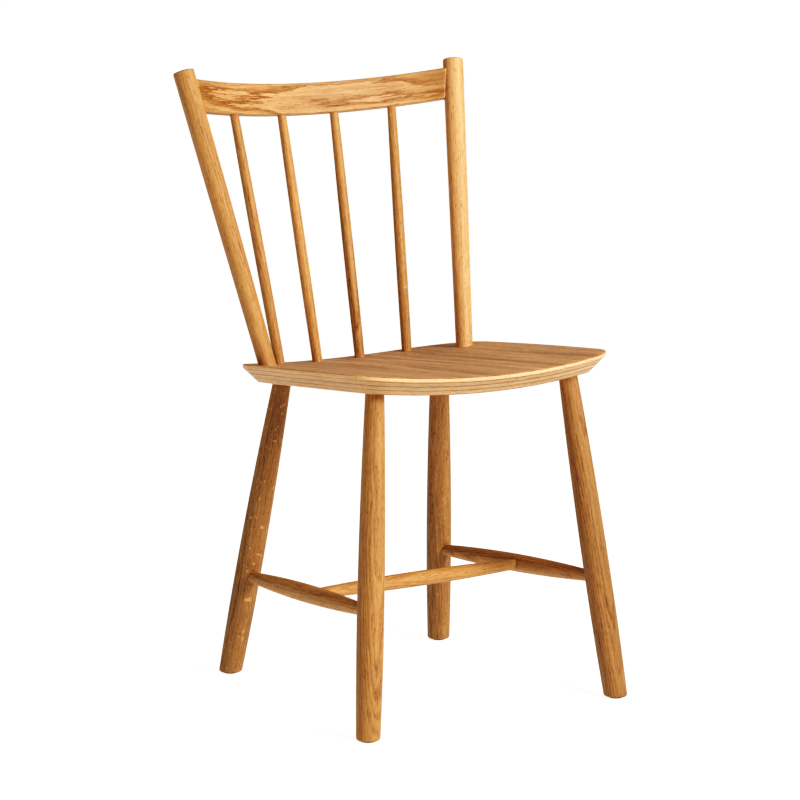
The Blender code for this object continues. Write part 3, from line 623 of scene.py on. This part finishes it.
def seat_holes(chair):
    """Bars that bore the seat's holes for legs, posts and spindles."""
    legs, back = chair.legs, chair.back
    bars = []
    for where, _, sign in CORNERS:
        line = leg_line(chair, where, sign)
        span = lay_out(line)[2]
        bars.append(hole(line, legs.top, span - BAR_OUT, span + legs.tenon + END_ROOM))
    for _, sign in SIDES:
        bars.append(hole(post_line(chair, sign), back.post_base, -back.post_tenon - END_ROOM, BAR_OUT))
        for _, pitches in SPINDLES:
            line = spindle_line(chair, pitches, sign)
            bars.append(hole(line, back.spindle_base, -back.spindle_seat_tenon - END_ROOM, BAR_OUT))
    return bars


# Meshes and pieces


def mesh_of(name, bodies):
    """One mesh of closed bodies, given as corners and faces."""
    corners, faces, count = [], [], 0
    for points, loops in bodies:
        corners.append(points)
        faces += [[i + count for i in loop] for loop in loops]
        count += len(points)
    mesh = bpy.data.meshes.new(name)
    mesh.from_pydata(np.vstack(corners).tolist(), [], faces)
    return mesh


def carve(mesh, operation, bodies):
    """A mesh after closed bodies are cut from it or joined to it."""
    tool = bpy.data.objects.new("tool", mesh_of("tool", bodies))
    work = bpy.data.objects.new("work", mesh)
    for item in (tool, work):
        bpy.context.collection.objects.link(item)
    step = work.modifiers.new("carve", "BOOLEAN")
    step.operation = operation
    step.solver = "EXACT"
    step.object = tool
    result = bpy.data.meshes.new_from_object(work.evaluated_get(bpy.context.evaluated_depsgraph_get()))
    for item in (tool, work):
        shape = item.data
        bpy.data.objects.remove(item)
        bpy.data.meshes.remove(shape)
    drop_flaps(result)
    return result


def drop_flaps(mesh):
    """A boolean can leave a corner with only two edges: the tip of a thin triangle that is folded flat on
    its neighbour, or a corner all but in line with the next ones, where the faces' triangles would
    overlap. Both kinds are dissolved."""
    edges = np.empty(len(mesh.edges) * 2, np.int32)
    mesh.edges.foreach_get("vertices", edges)
    shape = bmesh.new()
    shape.from_mesh(mesh)
    shape.verts.ensure_lookup_table()
    loose = []
    for corner in [shape.verts[index] for index in np.flatnonzero(np.bincount(edges) == 2)]:
        ends = [edge.other_vert(corner) for edge in corner.link_edges]
        one, other = (end.co - corner.co for end in ends)
        if shape.edges.get(ends) or one.cross(other).length < OUT_OF_LINE * (one - other).length:
            loose.append(corner)
    bmesh.ops.dissolve_verts(shape, verts=loose)
    shape.to_mesh(mesh)
    shape.free()


def vectors(items, key):
    """The vectors of a mesh's vertices or faces."""
    parts = np.empty(len(items) * 3)
    items.foreach_get(key, parts)
    return parts.reshape(-1, 3)


def finish_piece(node, mesh, material, board=None, along=None):
    """Put a piece in the scene in place of its CAD node, moved from the plan so that the seat's front edge
    is at the CAD seat's. board turns plan points into board points, and along is the way of its grain: a
    face's "cut" is 1 where it is cut square across the grain."""
    shift = (0.0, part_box("seat_ply_2_thick")[0].y + bpy.context.scene.chair.seat.depth / 2.0, 0.0)
    points = vectors(mesh.vertices, "co")
    if board is not None:
        grain = mesh.attributes.new("grain", "FLOAT_VECTOR", "POINT")
        grain.data.foreach_set("vector", np.ascontiguousarray(board(points)).ravel())
        cut = mesh.attributes.new("cut", "FLOAT", "FACE")
        cut.data.foreach_set("value", np.abs(vectors(mesh.polygons, "normal") @ along))
    mesh.vertices.foreach_set("co", (points + shift).ravel())
    mesh.shade_smooth()
    mesh.set_sharp_from_angle(angle=SHARP_ANGLE)
    mesh.materials.clear()
    mesh.materials.append(material)
    mesh.update()
    piece = bpy.data.objects.new("finished_" + node, mesh)
    bpy.context.collection.objects.link(piece)
    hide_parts(node)
    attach(piece, "root")


def blank_board(node, start, axes, points):
    """Board points of a turned piece: across the grain from the tree's heart in two directions, and along
    it. The way from the heart is its blank's own, plus its lean times the way along."""
    away, heart, lean, up = BLANKS[node][:4]
    heart = math.radians(heart)
    local = (points - start) @ axes.T
    from_heart = away + lean * local[:, 2]
    local[:, 0] += from_heart * math.cos(heart)
    local[:, 1] += from_heart * math.sin(heart)
    local[:, 2] += up
    return local


def finish_turned(node, line, rows, holes, wood):
    """Skin the rings of a turned piece, cut its holes and finish it in oak from its own blank."""
    mesh = mesh_of(node, [skin(rows)])
    if holes:
        mesh = carve(mesh, "DIFFERENCE", holes)
    start, axes, _ = lay_out(line)
    look = oak("oiled oak, " + node, wood, RING, *BLANKS[node][4:])
    finish_piece(node, mesh, look, partial(blank_board, node, start, axes), axes[2])


# Materials


def add(tree, kind, *values, to=None, out=0, **settings):
    """Add a shader node with its settings and give its output out. Its inputs to, which are the first ones
    unless named, get the values or are linked to the outputs."""
    node = tree.nodes.new("ShaderNode" + kind)
    for key, value in settings.items():
        setattr(node, key, value)
    for key, value in zip(to or range(len(values)), values):
        if isinstance(value, bpy.types.NodeSocket):
            tree.links.new(value, node.inputs[key])
        else:
            node.inputs[key].default_value = value
    return node.outputs[out]


def new_material(name):
    """A new material, its node tree and its shader."""
    material = bpy.data.materials.new(name)
    material.use_nodes = True
    return material, material.node_tree, material.node_tree.nodes["Principled BSDF"]


def opaque(tint, share=1.0):
    """A share of a colour, with full cover."""
    return (*[part * share for part in tint], 1.0)


def oak(name, wood, ring, tone, figure, rays, streak=1.0):
    """Oiled oak. Its rings of large pores, 2 to 4 mm apart, show as dark lines and pointed flames with
    ragged edges. Between them the wood is dense and pale, with short dark pores along the grain and,
    where the surface faces the tree's heart, small pale flecks of ray. Where the grain is cut across,
    the wood soaks up more oil and is darker. Pores are 0.3 mm wide in oak. Here the finest are drawn
    1 mm wide, so that they show at the render's scale."""
    oaks = bpy.context.scene.chair.oak
    late, early = getattr(oaks, wood + "_late"), getattr(oaks, wood + "_early")
    ends = oaks.ply_end if wood == "ply" else oaks.end_grain
    material, tree, shader = new_material(name)
    put = partial(add, tree)
    grain = put("Attribute", out="Vector", attribute_name="grain")
    cut = put("Attribute", out="Fac", attribute_name="cut")
    # The rings wander by some millimetres over a few centimetres of width and some decimetres of length
    wander = put("VectorMath", grain, (25.0, 25.0, 4.0), operation="MULTIPLY")
    wander = put("TexNoise", wander, 1.0, 2.0, 0.5, to=NOISE, out="Color")
    wander = put("VectorMath", wander, (0.5, 0.5, 0.5), operation="SUBTRACT")
    wander = put("VectorMath", wander, (0.020, 0.020, 0.0), operation="MULTIPLY")
    bent = put("VectorMath", grain, wander, operation="ADD")
    from_heart = put("VectorMath", bent, (1.0, 1.0, 0.0), operation="MULTIPLY")
    from_heart = put("VectorMath", from_heart, out="Value", operation="LENGTH")
    # Rays are thin sheets that run out from the heart, so they are narrow round it and long away from it
    x, y, z = put("SeparateXYZ", bent).node.outputs
    sheet = put("CombineXYZ", put("Math", y, x, operation="ARCTAN2"), from_heart, z)
    streaks = (1.0 - 0.12 * streak) * tone, (1.0 + 0.10 * streak) * tone
    # Noises: the place, the humps a metre in three directions, the detail, the roughness, and then the
    # part of the noise that is used and the values that it is spread between
    noises = []
    for place, humps, detail, rough, *spread in (
        # Bundles of fibre 2 mm wide and 30 mm long, which end in turn and make a flame's edge ragged
        (grain, (520.0, 520.0, 34.0), 2.0, 0.6),
        # Patches 22 mm wide and 140 mm long with fainter and stronger rings
        (grain, (45.0, 45.0, 7.0), 1.0, 0.5, 0.3, 0.7, 0.45 * figure, figure),
        # Fine mottle 2 mm wide and 24 mm long
        (bent, (520.0, 520.0, 42.0), 3.0, 0.65, 0.25, 0.75, 0.80, 1.20),
        # Broad streaks 14 mm wide and 250 mm long
        (grain, (70.0, 70.0, 4.0), 2.0, 0.5, 0.3, 0.7, *streaks),
        # Pores 1 mm wide and 7 mm long
        (bent, (1000.0, 1000.0, 150.0), 1.0, 0.5, 0.57, 0.66, 0.0, 1.0),
        # Flecks of ray 11 mm deep and 6 mm long
        (sheet, (36.0, 90.0, 165.0), 1.0, 0.5, 0.66, 0.77, 0.0, 1.0),
        # The pepper of pores on a cut end, 1 mm wide
        (grain, (900.0, 900.0, 900.0), 2.0, 0.5, 0.3, 0.7, 0.76, 1.20),
    ):
        place = put("VectorMath", place, humps, operation="MULTIPLY")
        place = put("TexNoise", place, 1.0, detail, rough, to=NOISE)
        noises.append(put("MapRange", place, *spread) if spread else place)
    ragged, patches, fine, broad, dots, flecks, pepper = noises
    # Rings: the way from the heart, moved by up to 2 mm at the ragged edges, in ring widths
    ragged = put("Math", put("Math", ragged, 0.5, operation="SUBTRACT"), 0.0040, operation="MULTIPLY")
    place = put("Math", put("Math", from_heart, ragged, operation="ADD"), ring, operation="DIVIDE")
    rings = put("ValToRGB", put("Math", place, operation="FRACT"))
    stops = rings.node.color_ramp.elements
    while len(stops) < len(RING_SHADES):
        stops.new(0.5)
    for stop, (spot, shade) in zip(stops, RING_SHADES):
        stop.position = spot
        stop.color = (shade, shade, shade, 1.0)
    # Some years leave a wide, dark ring and others hardly one
    years = put("TexNoise", place, 0.43, 2.0, to=("W", "Scale", "Detail"), noise_dimensions="1D")
    years = put("MapRange", years, 0.32, 0.68, 0.15, 1.0)
    ringed = put("Math", put("Math", rings, years, operation="MULTIPLY"), patches, operation="MULTIPLY")
    ringed = put("Math", ringed, 1.15, operation="MINIMUM")
    body = put("Mix", ringed, opaque(late), opaque(early), **MIX)
    shade = put("Math", fine, broad, operation="MULTIPLY")
    body = put("VectorMath", body, shade, to=(0, "Scale"), operation="SCALE")
    # Pores are fewer away from the rings
    near_ring = put("MapRange", rings, 0.0, 0.8, 0.35, 1.0)
    dots = put("Math", put("Math", dots, near_ring, operation="MULTIPLY"), 0.70, operation="MULTIPLY")
    body = put("Mix", dots, body, opaque(oaks.pores), **MIX, blend_type="MULTIPLY")
    flecks = put("Math", flecks, rays, operation="MULTIPLY")
    body = put("Mix", flecks, body, opaque(oaks.rays), **MIX, blend_type="SCREEN")
    # Cut ends have fainter rings
    faint = put("MapRange", ringed, 0.0, 1.0, 1.08, 0.72)
    shade = put("Math", put("Math", pepper, faint, operation="MULTIPLY"), broad, operation="MULTIPLY")
    across = put("VectorMath", ends, shade, to=(0, "Scale"), operation="SCALE")
    body = put("Mix", put("MapRange", cut, 0.35, 0.62), body, across, **MIX)
    tree.links.new(body, shader.inputs["Base Color"])
    gloss = put("MapRange", put("Math", dots, fine, operation="ADD"), 0.8, 1.6, 0.52, 0.66)
    tree.links.new(gloss, shader.inputs["Roughness"])
    shader.inputs["IOR"].default_value = 1.5
    shader.inputs["Specular IOR Level"].default_value = 0.35
    height = put("Math", put("Math", fine, 0.5, operation="MULTIPLY"), dots, operation="SUBTRACT")
    bump = put("Bump", 0.2, 0.0003, height, to=("Strength", "Distance", "Height"))
    tree.links.new(bump, shader.inputs["Normal"])
    return material


def nylon(name, tint):
    """Moulded nylon: one even colour, a soft sheen and the faint orange peel of the mould, 1 mm wide."""
    material, tree, shader = new_material(name)
    peel = add(tree, "TexNoise", add(tree, "TexCoord", out="Object"), 900.0, 2.0, 0.5, to=NOISE)
    body = add(tree, "Mix", peel, opaque(tint, 0.92), opaque(tint), **MIX)
    tree.links.new(body, shader.inputs["Base Color"])
    shader.inputs["Roughness"].default_value = 0.42
    shader.inputs["IOR"].default_value = 1.53
    bump = add(tree, "Bump", 0.15, 0.0001, peel, to=("Strength", "Distance", "Height"))
    tree.links.new(bump, shader.inputs["Normal"])
    return material


# Operators


class CHAIR_OT_legs(bpy.types.Operator):
    """Turn the four legs, with rounded feet and a stretcher hole in each"""

    bl_idname = "chair.legs"
    bl_label = "Legs"

    def execute(self, context):
        chair = context.scene.chair
        legs, sizes = chair.legs, chair.stretchers
        for where, side, sign in CORNERS:
            line = leg_line(chair, where, sign)
            ends, insets = stretcher_line(chair, sign)
            if where == "rear":
                ends, insets = ends[::-1], insets[::-1]
            nail = at_height(line, legs.glide_thickness) * (1.0, 1.0, 0.0)
            top = legs.glide_thickness + legs.nail_length + END_ROOM
            holes = [
                hole(ends, sizes.end, insets[0] - sizes.tenon - END_ROOM, insets[0] + BAR_OUT),
                hole((nail, nail + (0.0, 0.0, 1.0)), legs.nail, -BAR_OUT, top),
            ]
            finish_turned(f"leg_{where}_{side}", line, self.rows(legs, line), holes, "legs")
        return {"FINISHED"}

    def rows(self, legs, line):
        """Rings are level, so that the foot is cut level: each point goes along the leg until it is at
        the ring's height, with the radius that the leg has there. Then the foot's rings are drawn in."""
        start, axes, span = lay_out(line)
        level = legs.glide_thickness + JOINT_LINE
        inset, over = round_in(0.0, legs.foot_round)
        top = line[1][2] + legs.tenon * LEVEL_TENON
        body = np.linspace(level + legs.foot_round, top, TURNED_STEPS)[1:]
        heights = np.concatenate(((level,), level + over, body))[:, None]
        inset = np.concatenate(((legs.foot_round,), -inset, np.zeros(len(body))))
        around = circle(axes)
        along = np.repeat(heights / axes[2, 2], TURNED_SIDES, 1)
        for _ in range(4):
            radius = leg_radius(legs, along.clip(0.0, span), span)
            along = (heights - (radius * around[:, 2])) / axes[2, 2]
        middle = start + heights[..., None] / axes[2, 2] * axes[2]
        out = start + (radius[..., None] * around) + along[..., None] * axes[2] - middle
        return middle + out * (1.0 - inset[:, None] / np.linalg.norm(out, axis=-1))[..., None]


class CHAIR_OT_glides(bpy.types.Operator):
    """Mould the four floor glides with their nails"""

    bl_idname = "chair.glides"
    bl_label = "Glides"

    def execute(self, context):
        chair = context.scene.chair
        legs = chair.legs
        look = nylon("moulded nylon", chair.oak.glide)
        top, nail = legs.glide_thickness, legs.nail / 2.0
        rim, low = round_in(legs.glide / 2.0, legs.glide_round)
        radii = [*rim, rim[-1], nail, nail, nail * NAIL_POINT]
        heights = [*low, top, top, top + legs.nail_length - nail, top + legs.nail_length]
        for where, side, sign in CORNERS:
            node = f"glide_{where}_{side}"
            foot = at_height(leg_line(chair, where, sign), top) * (1.0, 1.0, 0.0)
            mesh = mesh_of(node, [skin(turned_rows(heights, radii, foot, np.eye(3)))])
            finish_piece(node, mesh, look)
        return {"FINISHED"}


class CHAIR_OT_stretchers(bpy.types.Operator):
    """Turn the side stretchers and the cross stretcher between them"""

    bl_idname = "chair.stretchers"
    bl_label = "Stretchers"

    def execute(self, context):
        chair = context.scene.chair
        sizes = chair.stretchers
        ends, insets = cross_line(chair)
        for near, (side, sign) in enumerate(SIDES):
            reach = insets[near] - sizes.cross_tenon - END_ROOM, insets[near] + BAR_OUT
            holes = [hole((ends[near], ends[1 - near]), sizes.cross_end, *reach)]
            shape = *stretcher_line(chair, sign), sizes.belly, sizes.end, sizes.tenon
            self.turn(f"side_stretcher_{side}", holes, *shape)
        shape = ends, insets, sizes.cross_belly, sizes.cross_end, sizes.cross_tenon
        self.turn("cross_stretcher", [], *shape)
        return {"FINISHED"}

    def turn(self, node, holes, line, insets, belly, tip, tenon):
        """Turn a stretcher that swells from shoulder to shoulder, with a plain tenon past each."""
        start, axes, span = lay_out(line)
        first, last = insets[0], span - insets[1]
        body = np.linspace(0.0, last - first, TURNED_STEPS)
        radius = swelling(body, last - first, tip / 2.0, belly / 2.0, tip / 2.0, (last - first) / 2.0)
        along = (first - tenon, *(first + body), last + tenon)
        rows = turned_rows(along, (tip / 2.0, *radius, tip / 2.0), start, axes)
        finish_turned(node, line, rows, holes, "legs")


class CHAIR_OT_seat(bpy.types.Operator):
    """Press the seat from nine plies and bore it for the legs, the posts and the spindles"""

    bl_idname = "chair.seat"
    bl_label = "Seat"

    def execute(self, context):
        chair = context.scene.chair
        seat, holes = chair.seat, seat_holes(chair)
        thick = (seat.thickness - 5 * seat.thin_ply) / 4
        top = 0.0
        for number, (kind, tone) in enumerate(PLIES, 1):
            node, thin = f"seat_ply_{number}_{kind}", kind != "thick"
            bottom = top + (seat.thin_ply if thin else thick)
            upper = top + GLUE_LINE / 2.0 if number > 1 else 0.0
            lower = bottom - GLUE_LINE / 2.0 if number < len(PLIES) else seat.thickness
            mesh = carve(mesh_of(node, [skin(*self.rows(seat, upper, lower))]), "DIFFERENCE", holes)
            board = partial(self.board, seat, thin, number)
            if thin:
                wood = "core" if kind == "thin" else "veneer"
                look = oak("oiled oak veneer, " + node, wood, VENEER_RING, tone, 0.95, 0.2, 2.0)
                finish_piece(node, mesh, look, board, (0.0, 1.0, 0.0))
            else:
                # For the lower thick plies this tone is painted shade on the bevel, which faces down
                look = oak("oiled oak ply, " + node, "ply", WIDE_RING, tone, 0.8, 0.0)
                finish_piece(node, mesh, look, board, (1.0, 0.0, 0.0))
            top = bottom
        return {"FINISHED"}

    def rows(self, seat, upper, lower):
        """Rings and poles of a ply between two depths. The edge's rings are the outline, drawn in as much
        as the edge is at that depth, and those over and under the ply are shares of the first and last
        of these. Each point is at the height of the seat's top there, less its depth."""
        near_land = seat.land + np.array((-NEAR_LAND, 0.0, NEAR_LAND))
        breaks = (*np.linspace(0.0, seat.top_round, EDGE_STEPS + 1)[1:], *near_land)
        depths = (upper, *[depth for depth in breaks if upper < depth < lower], lower)
        edge = np.array([seat_outline(seat, edge_inset(seat, depth)) for depth in depths])
        shares = np.linspace(0.0, 1.0, SEAT_STEPS + 1)[1:-1, None, None]
        plan = np.concatenate((edge[0] * shares, edge, edge[-1] * shares[::-1]))
        deep = np.concatenate((np.full(len(shares), upper), depths, np.full(len(shares), lower)))
        rows = np.dstack((plan, seat_rise(seat, plan[..., 0], plan[..., 1]) - deep[:, None]))
        return rows, np.array([(0.0, 0.0, seat.height - depth) for depth in (upper, lower)])

    def board(self, seat, thin, number, points):
        """Board points of a ply: across and down from the heart, and along the grain. A thick ply is
        peeled from round the log, so its way across the grain hardly leaves a ring, and counts little."""
        x, y = points[:, 0], points[:, 1]
        depth = seat_rise(seat, x, y) - points[:, 2]
        if thin:
            return np.stack((x + 0.03 * number, depth + PLY_HEART, y + PLY_UP + number), -1)
        return np.stack((y * 0.06, depth * 2.0 + PLY_HEART, x + PLY_UP + number), -1)


class CHAIR_OT_posts(bpy.types.Operator):
    """Turn the two back posts and cut a mortise in each for the crest rail"""

    bl_idname = "chair.posts"
    bl_label = "Posts"

    def execute(self, context):
        chair = context.scene.chair
        back = chair.back
        for (side, sign), wood in zip(SIDES, ("back", "pale")):
            line = post_line(chair, sign)
            start, axes, span = lay_out(line)
            body = np.linspace(0.0, span - back.post_round, TURNED_STEPS)
            rim, over = round_in(float(post_radius(back, span, span)), back.post_round)
            # The end is crowned: its height over the rim falls with the square of the way out
            inward = np.linspace(1.0, 0.0, CROWN_STEPS + 1)[1:-1]
            crown = span + back.post_crown * (1.0 - inward ** 2)
            along = (-back.post_tenon, *body, *(span - over[::-1][1:]), *crown)
            radius = (*post_radius(back, body, span), *rim[::-1][1:], *(rim[0] * inward))
            rows = turned_rows(along, (back.post_base / 2.0, *radius), start, axes)
            mortise = [rail_tenon(chair, sign, JOINT_LINE)]
            finish_turned(f"back_post_{side}", line, rows, mortise, wood)
        return {"FINISHED"}


def rail_tenon(chair, sign, room):
    """The rail's tenon in one post, or with room added the mortise for it: a box on the rail's axes."""
    back, curve = chair.back, RailCurve(chair)
    tangent, _, up = curve.directions(curve.half * sign)
    outward = tangent * sign
    side, top = back.rail_tenon_thickness / 2.0 + room, back.rail_tenon_depth / 2.0 + room
    root, end = -TENON_ROOT, back.rail_tenon_past + room
    ring = (root, -side), (end, -side), (end, side), (root, side)
    rows = np.array([[(*spot, height) for spot in ring] for height in (-top, top)])
    return skin(curve.point(curve.half * sign) + rows @ np.array((outward, np.cross(up, outward), up)))


class CHAIR_OT_crest_rail(bpy.types.Operator):
    """Bend the crest rail, fit its ends to the posts and bore it for the spindles"""

    bl_idname = "chair.crest_rail"
    bl_label = "Crest rail"

    def execute(self, context):
        chair = context.scene.chair
        back, curve = chair.back, RailCurve(chair)
        copes, tenons, holes = [], [], []
        for _, sign in SIDES:
            start, axes, span = lay_out(post_line(chair, sign))
            reach = np.linspace(span - COPE_REACH, span + BAR_OUT, COPE_STEPS + 1)
            radius = post_radius(back, reach.clip(None, span), span) + JOINT_LINE
            copes.append(skin(turned_rows(reach, radius, start, axes)))
            tenons.append(rail_tenon(chair, sign, 0.0))
            for _, pitches in SPINDLES:
                line = spindle_line(chair, pitches, sign)
                span = lay_out(line)[2]
                reach = span - BAR_OUT, span + (back.spindle_rail_tenon + END_ROOM)
                holes.append(hole(line, back.spindle_top, *reach))
        mesh = mesh_of("crest_rail", [skin(curve.bend(self.board(chair, curve)))])
        for operation, bodies in (("DIFFERENCE", copes), ("UNION", tenons), ("DIFFERENCE", holes)):
            mesh = carve(mesh, operation, bodies)
        look = oak("oiled oak, crest_rail", "pale", WIDE_RING, 1.01, 2.4, 0.0)
        finish_piece("crest_rail", mesh, look, curve.unbend, (1.0, 0.0, 0.0))
        return {"FINISHED"}

    def board(self, chair, curve):
        """The flat board: the section at each step along it. Towards a post it is rounded in, by a quarter
        circle of the way that is left to the post."""
        back = chair.back
        spots, facing = self.section(back)
        near_end = np.linspace(0.0, RAIL_END, RAIL_END_STEPS + 1)
        middle = np.linspace(-curve.half + RAIL_END, curve.half - RAIL_END, RAIL_STEPS + 1)[1:-1]
        along = np.concatenate((near_end - curve.half, middle, curve.half - near_end[::-1]))
        board = np.concatenate((
            np.broadcast_to(along[:, None, None], (len(along), len(spots), 1)),
            np.broadcast_to(spots, (len(along), *spots.shape)),
        ), -1)
        for _, sign in SIDES:
            start, axes, span = lay_out(post_line(chair, sign))
            off = curve.bend(board) - start
            run = off @ axes[2]
            left = np.linalg.norm(off - run[..., None] * axes[2], axis=-1) - post_radius(back, run, span)
            short = (back.rail_end_round - left).clip(0.0, back.rail_end_round)
            drawn_in = back.rail_end_round - np.sqrt(back.rail_end_round ** 2 - short ** 2)
            board[..., 1:] -= drawn_in[..., None] * facing
        return board

    def section(self, back):
        """The rail's section, a rectangle with rounded corners, and the way out at each of its points."""
        half = np.array((back.rail_thickness, back.rail_depth)) / 2.0 - back.rail_round
        centres = half * ((1, 1), (-1, 1), (-1, -1), (1, -1))
        share = np.linspace(0.0, 1.0, FACE_STEPS + 1)[1:-1, None]
        spots, facing = [], []
        for corner in range(4):
            turn = np.linspace(0.0, math.pi / 2.0, CORNER_STEPS + 1) + corner * math.pi / 2.0
            out = np.stack((np.cos(turn), np.sin(turn)), -1)
            spots.append(centres[corner] + back.rail_round * out)
            following = centres[(corner + 1) % 4] + back.rail_round * out[-1]
            spots.append(spots[-1][-1] * (1.0 - share) + following * share)
            facing += [out, np.repeat(out[-1:], len(share), 0)]
        return np.vstack(spots), np.vstack(facing)


class CHAIR_OT_spindles(bpy.types.Operator):
    """Turn the four spindles of the back"""

    bl_idname = "chair.spindles"
    bl_label = "Spindles"

    def execute(self, context):
        chair = context.scene.chair
        back = chair.back
        radii = back.spindle_base / 2.0, back.spindle_belly / 2.0, back.spindle_top / 2.0
        for side, sign in SIDES:
            for which, pitches in SPINDLES:
                line = spindle_line(chair, pitches, sign)
                start, axes, span = lay_out(line)
                body = np.linspace(0.0, span, TURNED_STEPS)
                radius = swelling(body, span, *radii, back.spindle_belly_height)
                along = (-back.spindle_seat_tenon, *body, span + back.spindle_rail_tenon)
                rows = turned_rows(along, (radii[0], *radius, radii[2]), start, axes)
                finish_turned(f"spindle_{which}_{side}", line, rows, [], "back")
        return {"FINISHED"}


class CHAIR_OT_stage(bpy.types.Operator):
    """Set up the pale floor, the soft studio light and the camera"""

    bl_idname = "chair.stage"
    bl_label = "Stage"

    def execute(self, context):
        scene, stage = context.scene, context.scene.chair.stage
        self.contrast(scene)
        self.floor(stage)
        self.surround(scene, stage)
        self.light(stage)
        self.camera(scene)
        return {"FINISHED"}

    def contrast(self, scene):
        """The plain view transform, with the photograph's tone curve: darks are deepened, which also
        makes them richer in colour."""
        scene.view_settings.view_transform = "Standard"
        scene.view_settings.use_curve_mapping = True
        mapping = scene.view_settings.curve_mapping
        curve = mapping.curves[3]
        for tone in TONES:
            curve.points.new(*tone)
        curve.points[len(curve.points) - 1].location = WHITE_TONE
        mapping.extend = "EXTRAPOLATED"
        mapping.update()

    def floor(self, stage):
        """A wide disc of opal acrylic lit from below, which is white and keeps shadows faint."""
        turn = np.arange(FLOOR_SIDES) * math.tau / FLOOR_SIDES
        rim = np.stack((np.cos(turn), np.sin(turn), np.zeros(FLOOR_SIDES)), -1) * FLOOR_RADIUS
        mesh = bpy.data.meshes.new("studio_floor")
        mesh.from_pydata(rim.tolist(), [], [list(range(FLOOR_SIDES))])
        material, tree, shader = new_material("opal acrylic floor, lit from below")
        cloud = add(tree, "TexNoise", add(tree, "TexCoord", out="Object"), 0.6, 2.0, 0.5, to=NOISE)
        tint = add(tree, "Mix", cloud, opaque(stage.floor, 0.99), opaque(stage.floor), **MIX)
        tree.links.new(tint, shader.inputs["Base Color"])
        shader.inputs["Roughness"].default_value = 0.9
        shader.inputs["Specular IOR Level"].default_value = 0.1
        shader.inputs["Emission Color"].default_value = opaque(linear("#FFFFFF"))
        shader.inputs["Emission Strength"].default_value = 0.92
        mesh.materials.append(material)
        floor = bpy.data.objects.new("studio_floor", mesh)
        bpy.context.collection.objects.link(floor)

    def surround(self, scene, stage):
        """A surround that lights most from overhead, with a plain white backdrop to look at."""
        world = bpy.data.worlds.new("white surround")
        world.use_nodes = True
        tree = world.node_tree
        up = add(tree, "SeparateXYZ", add(tree, "TexCoord", out="Generated"), out=2)
        share = add(tree, "MapRange", up, 0.0, 0.9, 0.15, 1.0)
        lit = add(tree, "Math", share, stage.fill, operation="MULTIPLY")
        seen = add(tree, "Math", add(tree, "LightPath", out="Is Camera Ray"), 1.2, operation="MULTIPLY")
        strength = add(tree, "Math", lit, seen, operation="MAXIMUM")
        backdrop = tree.nodes["Background"]
        backdrop.inputs["Color"].default_value = opaque(linear("#FFFFFF"))
        tree.links.new(strength, backdrop.inputs["Strength"])
        scene.world = world

    def light(self, stage):
        """A square soft light that faces the back, with a grid that narrows its spread."""
        lamp = bpy.data.lights.new("key", "AREA")
        lamp.energy = stage.key
        lamp.size = 1.1
        lamp.spread = math.radians(100.0)
        lamp.color = linear("#FFF8EE")
        item = bpy.data.objects.new("key", lamp)
        bpy.context.collection.objects.link(item)
        _, axes, _ = lay_out((np.array(KEY_TARGET), np.array(KEY_PLACE)))
        item.matrix_world = Matrix.Translation(KEY_PLACE) @ Matrix(axes.tolist()).transposed().to_4x4()

    def camera(self, scene):
        """The photograph's view: from the front left, slightly above the seat, with a long lens."""
        lens = bpy.data.cameras.new("camera")
        lens.sensor_width = SENSOR
        lens.lens = LENS
        lens.clip_end = FAR
        camera = bpy.data.objects.new("camera", lens)
        bpy.context.collection.objects.link(camera)
        turn = Euler((math.radians(CAMERA_TILT), 0.0, math.radians(CAMERA_TURN))).to_matrix().to_4x4()
        roll = Matrix.Rotation(math.radians(CAMERA_ROLL), 4, "Z")
        camera.matrix_world = Matrix.Translation(CAMERA_PLACE) @ turn @ roll
        scene.camera = camera


class CHAIR_PT_sidebar(bpy.types.Panel):
    """The chair's operators and sizes"""

    bl_idname = "CHAIR_PT_sidebar"
    bl_label = "Spindle-back chair"
    bl_space_type = "VIEW_3D"
    bl_region_type = "UI"
    bl_category = "Chair"

    def draw(self, context):
        """List each operator, then each group of sizes and colours."""
        for operator in OPERATORS:
            self.layout.operator(operator.bl_idname)
        chair = context.scene.chair
        for title in ("seat", "legs", "stretchers", "back", "oak", "stage"):
            box = self.layout.box()
            box.label(text=title.capitalize())
            group = getattr(chair, title)
            for key in group.bl_rna.properties.keys():
                if key not in ("rna_type", "name"):
                    box.prop(group, key)


OPERATORS = (
    CHAIR_OT_legs,
    CHAIR_OT_glides,
    CHAIR_OT_stretchers,
    CHAIR_OT_seat,
    CHAIR_OT_posts,
    CHAIR_OT_crest_rail,
    CHAIR_OT_spindles,
    CHAIR_OT_stage,
)
GROUPS = (SeatSizes, LegSizes, StretcherSizes, BackSizes, OakColours, StageSettings, ChairSettings)


def register():
    """Register the settings, the operators and the panel."""
    for item in (*GROUPS, *OPERATORS, CHAIR_PT_sidebar):
        bpy.utils.register_class(item)
    bpy.types.Scene.chair = PointerProperty(type=ChairSettings)


def unregister():
    """Remove the settings, the operators and the panel."""
    del bpy.types.Scene.chair
    for item in reversed((*GROUPS, *OPERATORS, CHAIR_PT_sidebar)):
        bpy.utils.unregister_class(item)


def main():
    """Build every piece and the stage."""
    register()
    for item in list(bpy.data.objects):
        if item.name in ("Cube", "Light", "Camera"):
            bpy.data.objects.remove(item)
    bpy.ops.chair.legs()
    bpy.ops.chair.glides()
    bpy.ops.chair.stretchers()
    bpy.ops.chair.seat()
    bpy.ops.chair.posts()
    bpy.ops.chair.crest_rail()
    bpy.ops.chair.spindles()
    bpy.ops.chair.stage()


if __name__ == "__main__":
    main()
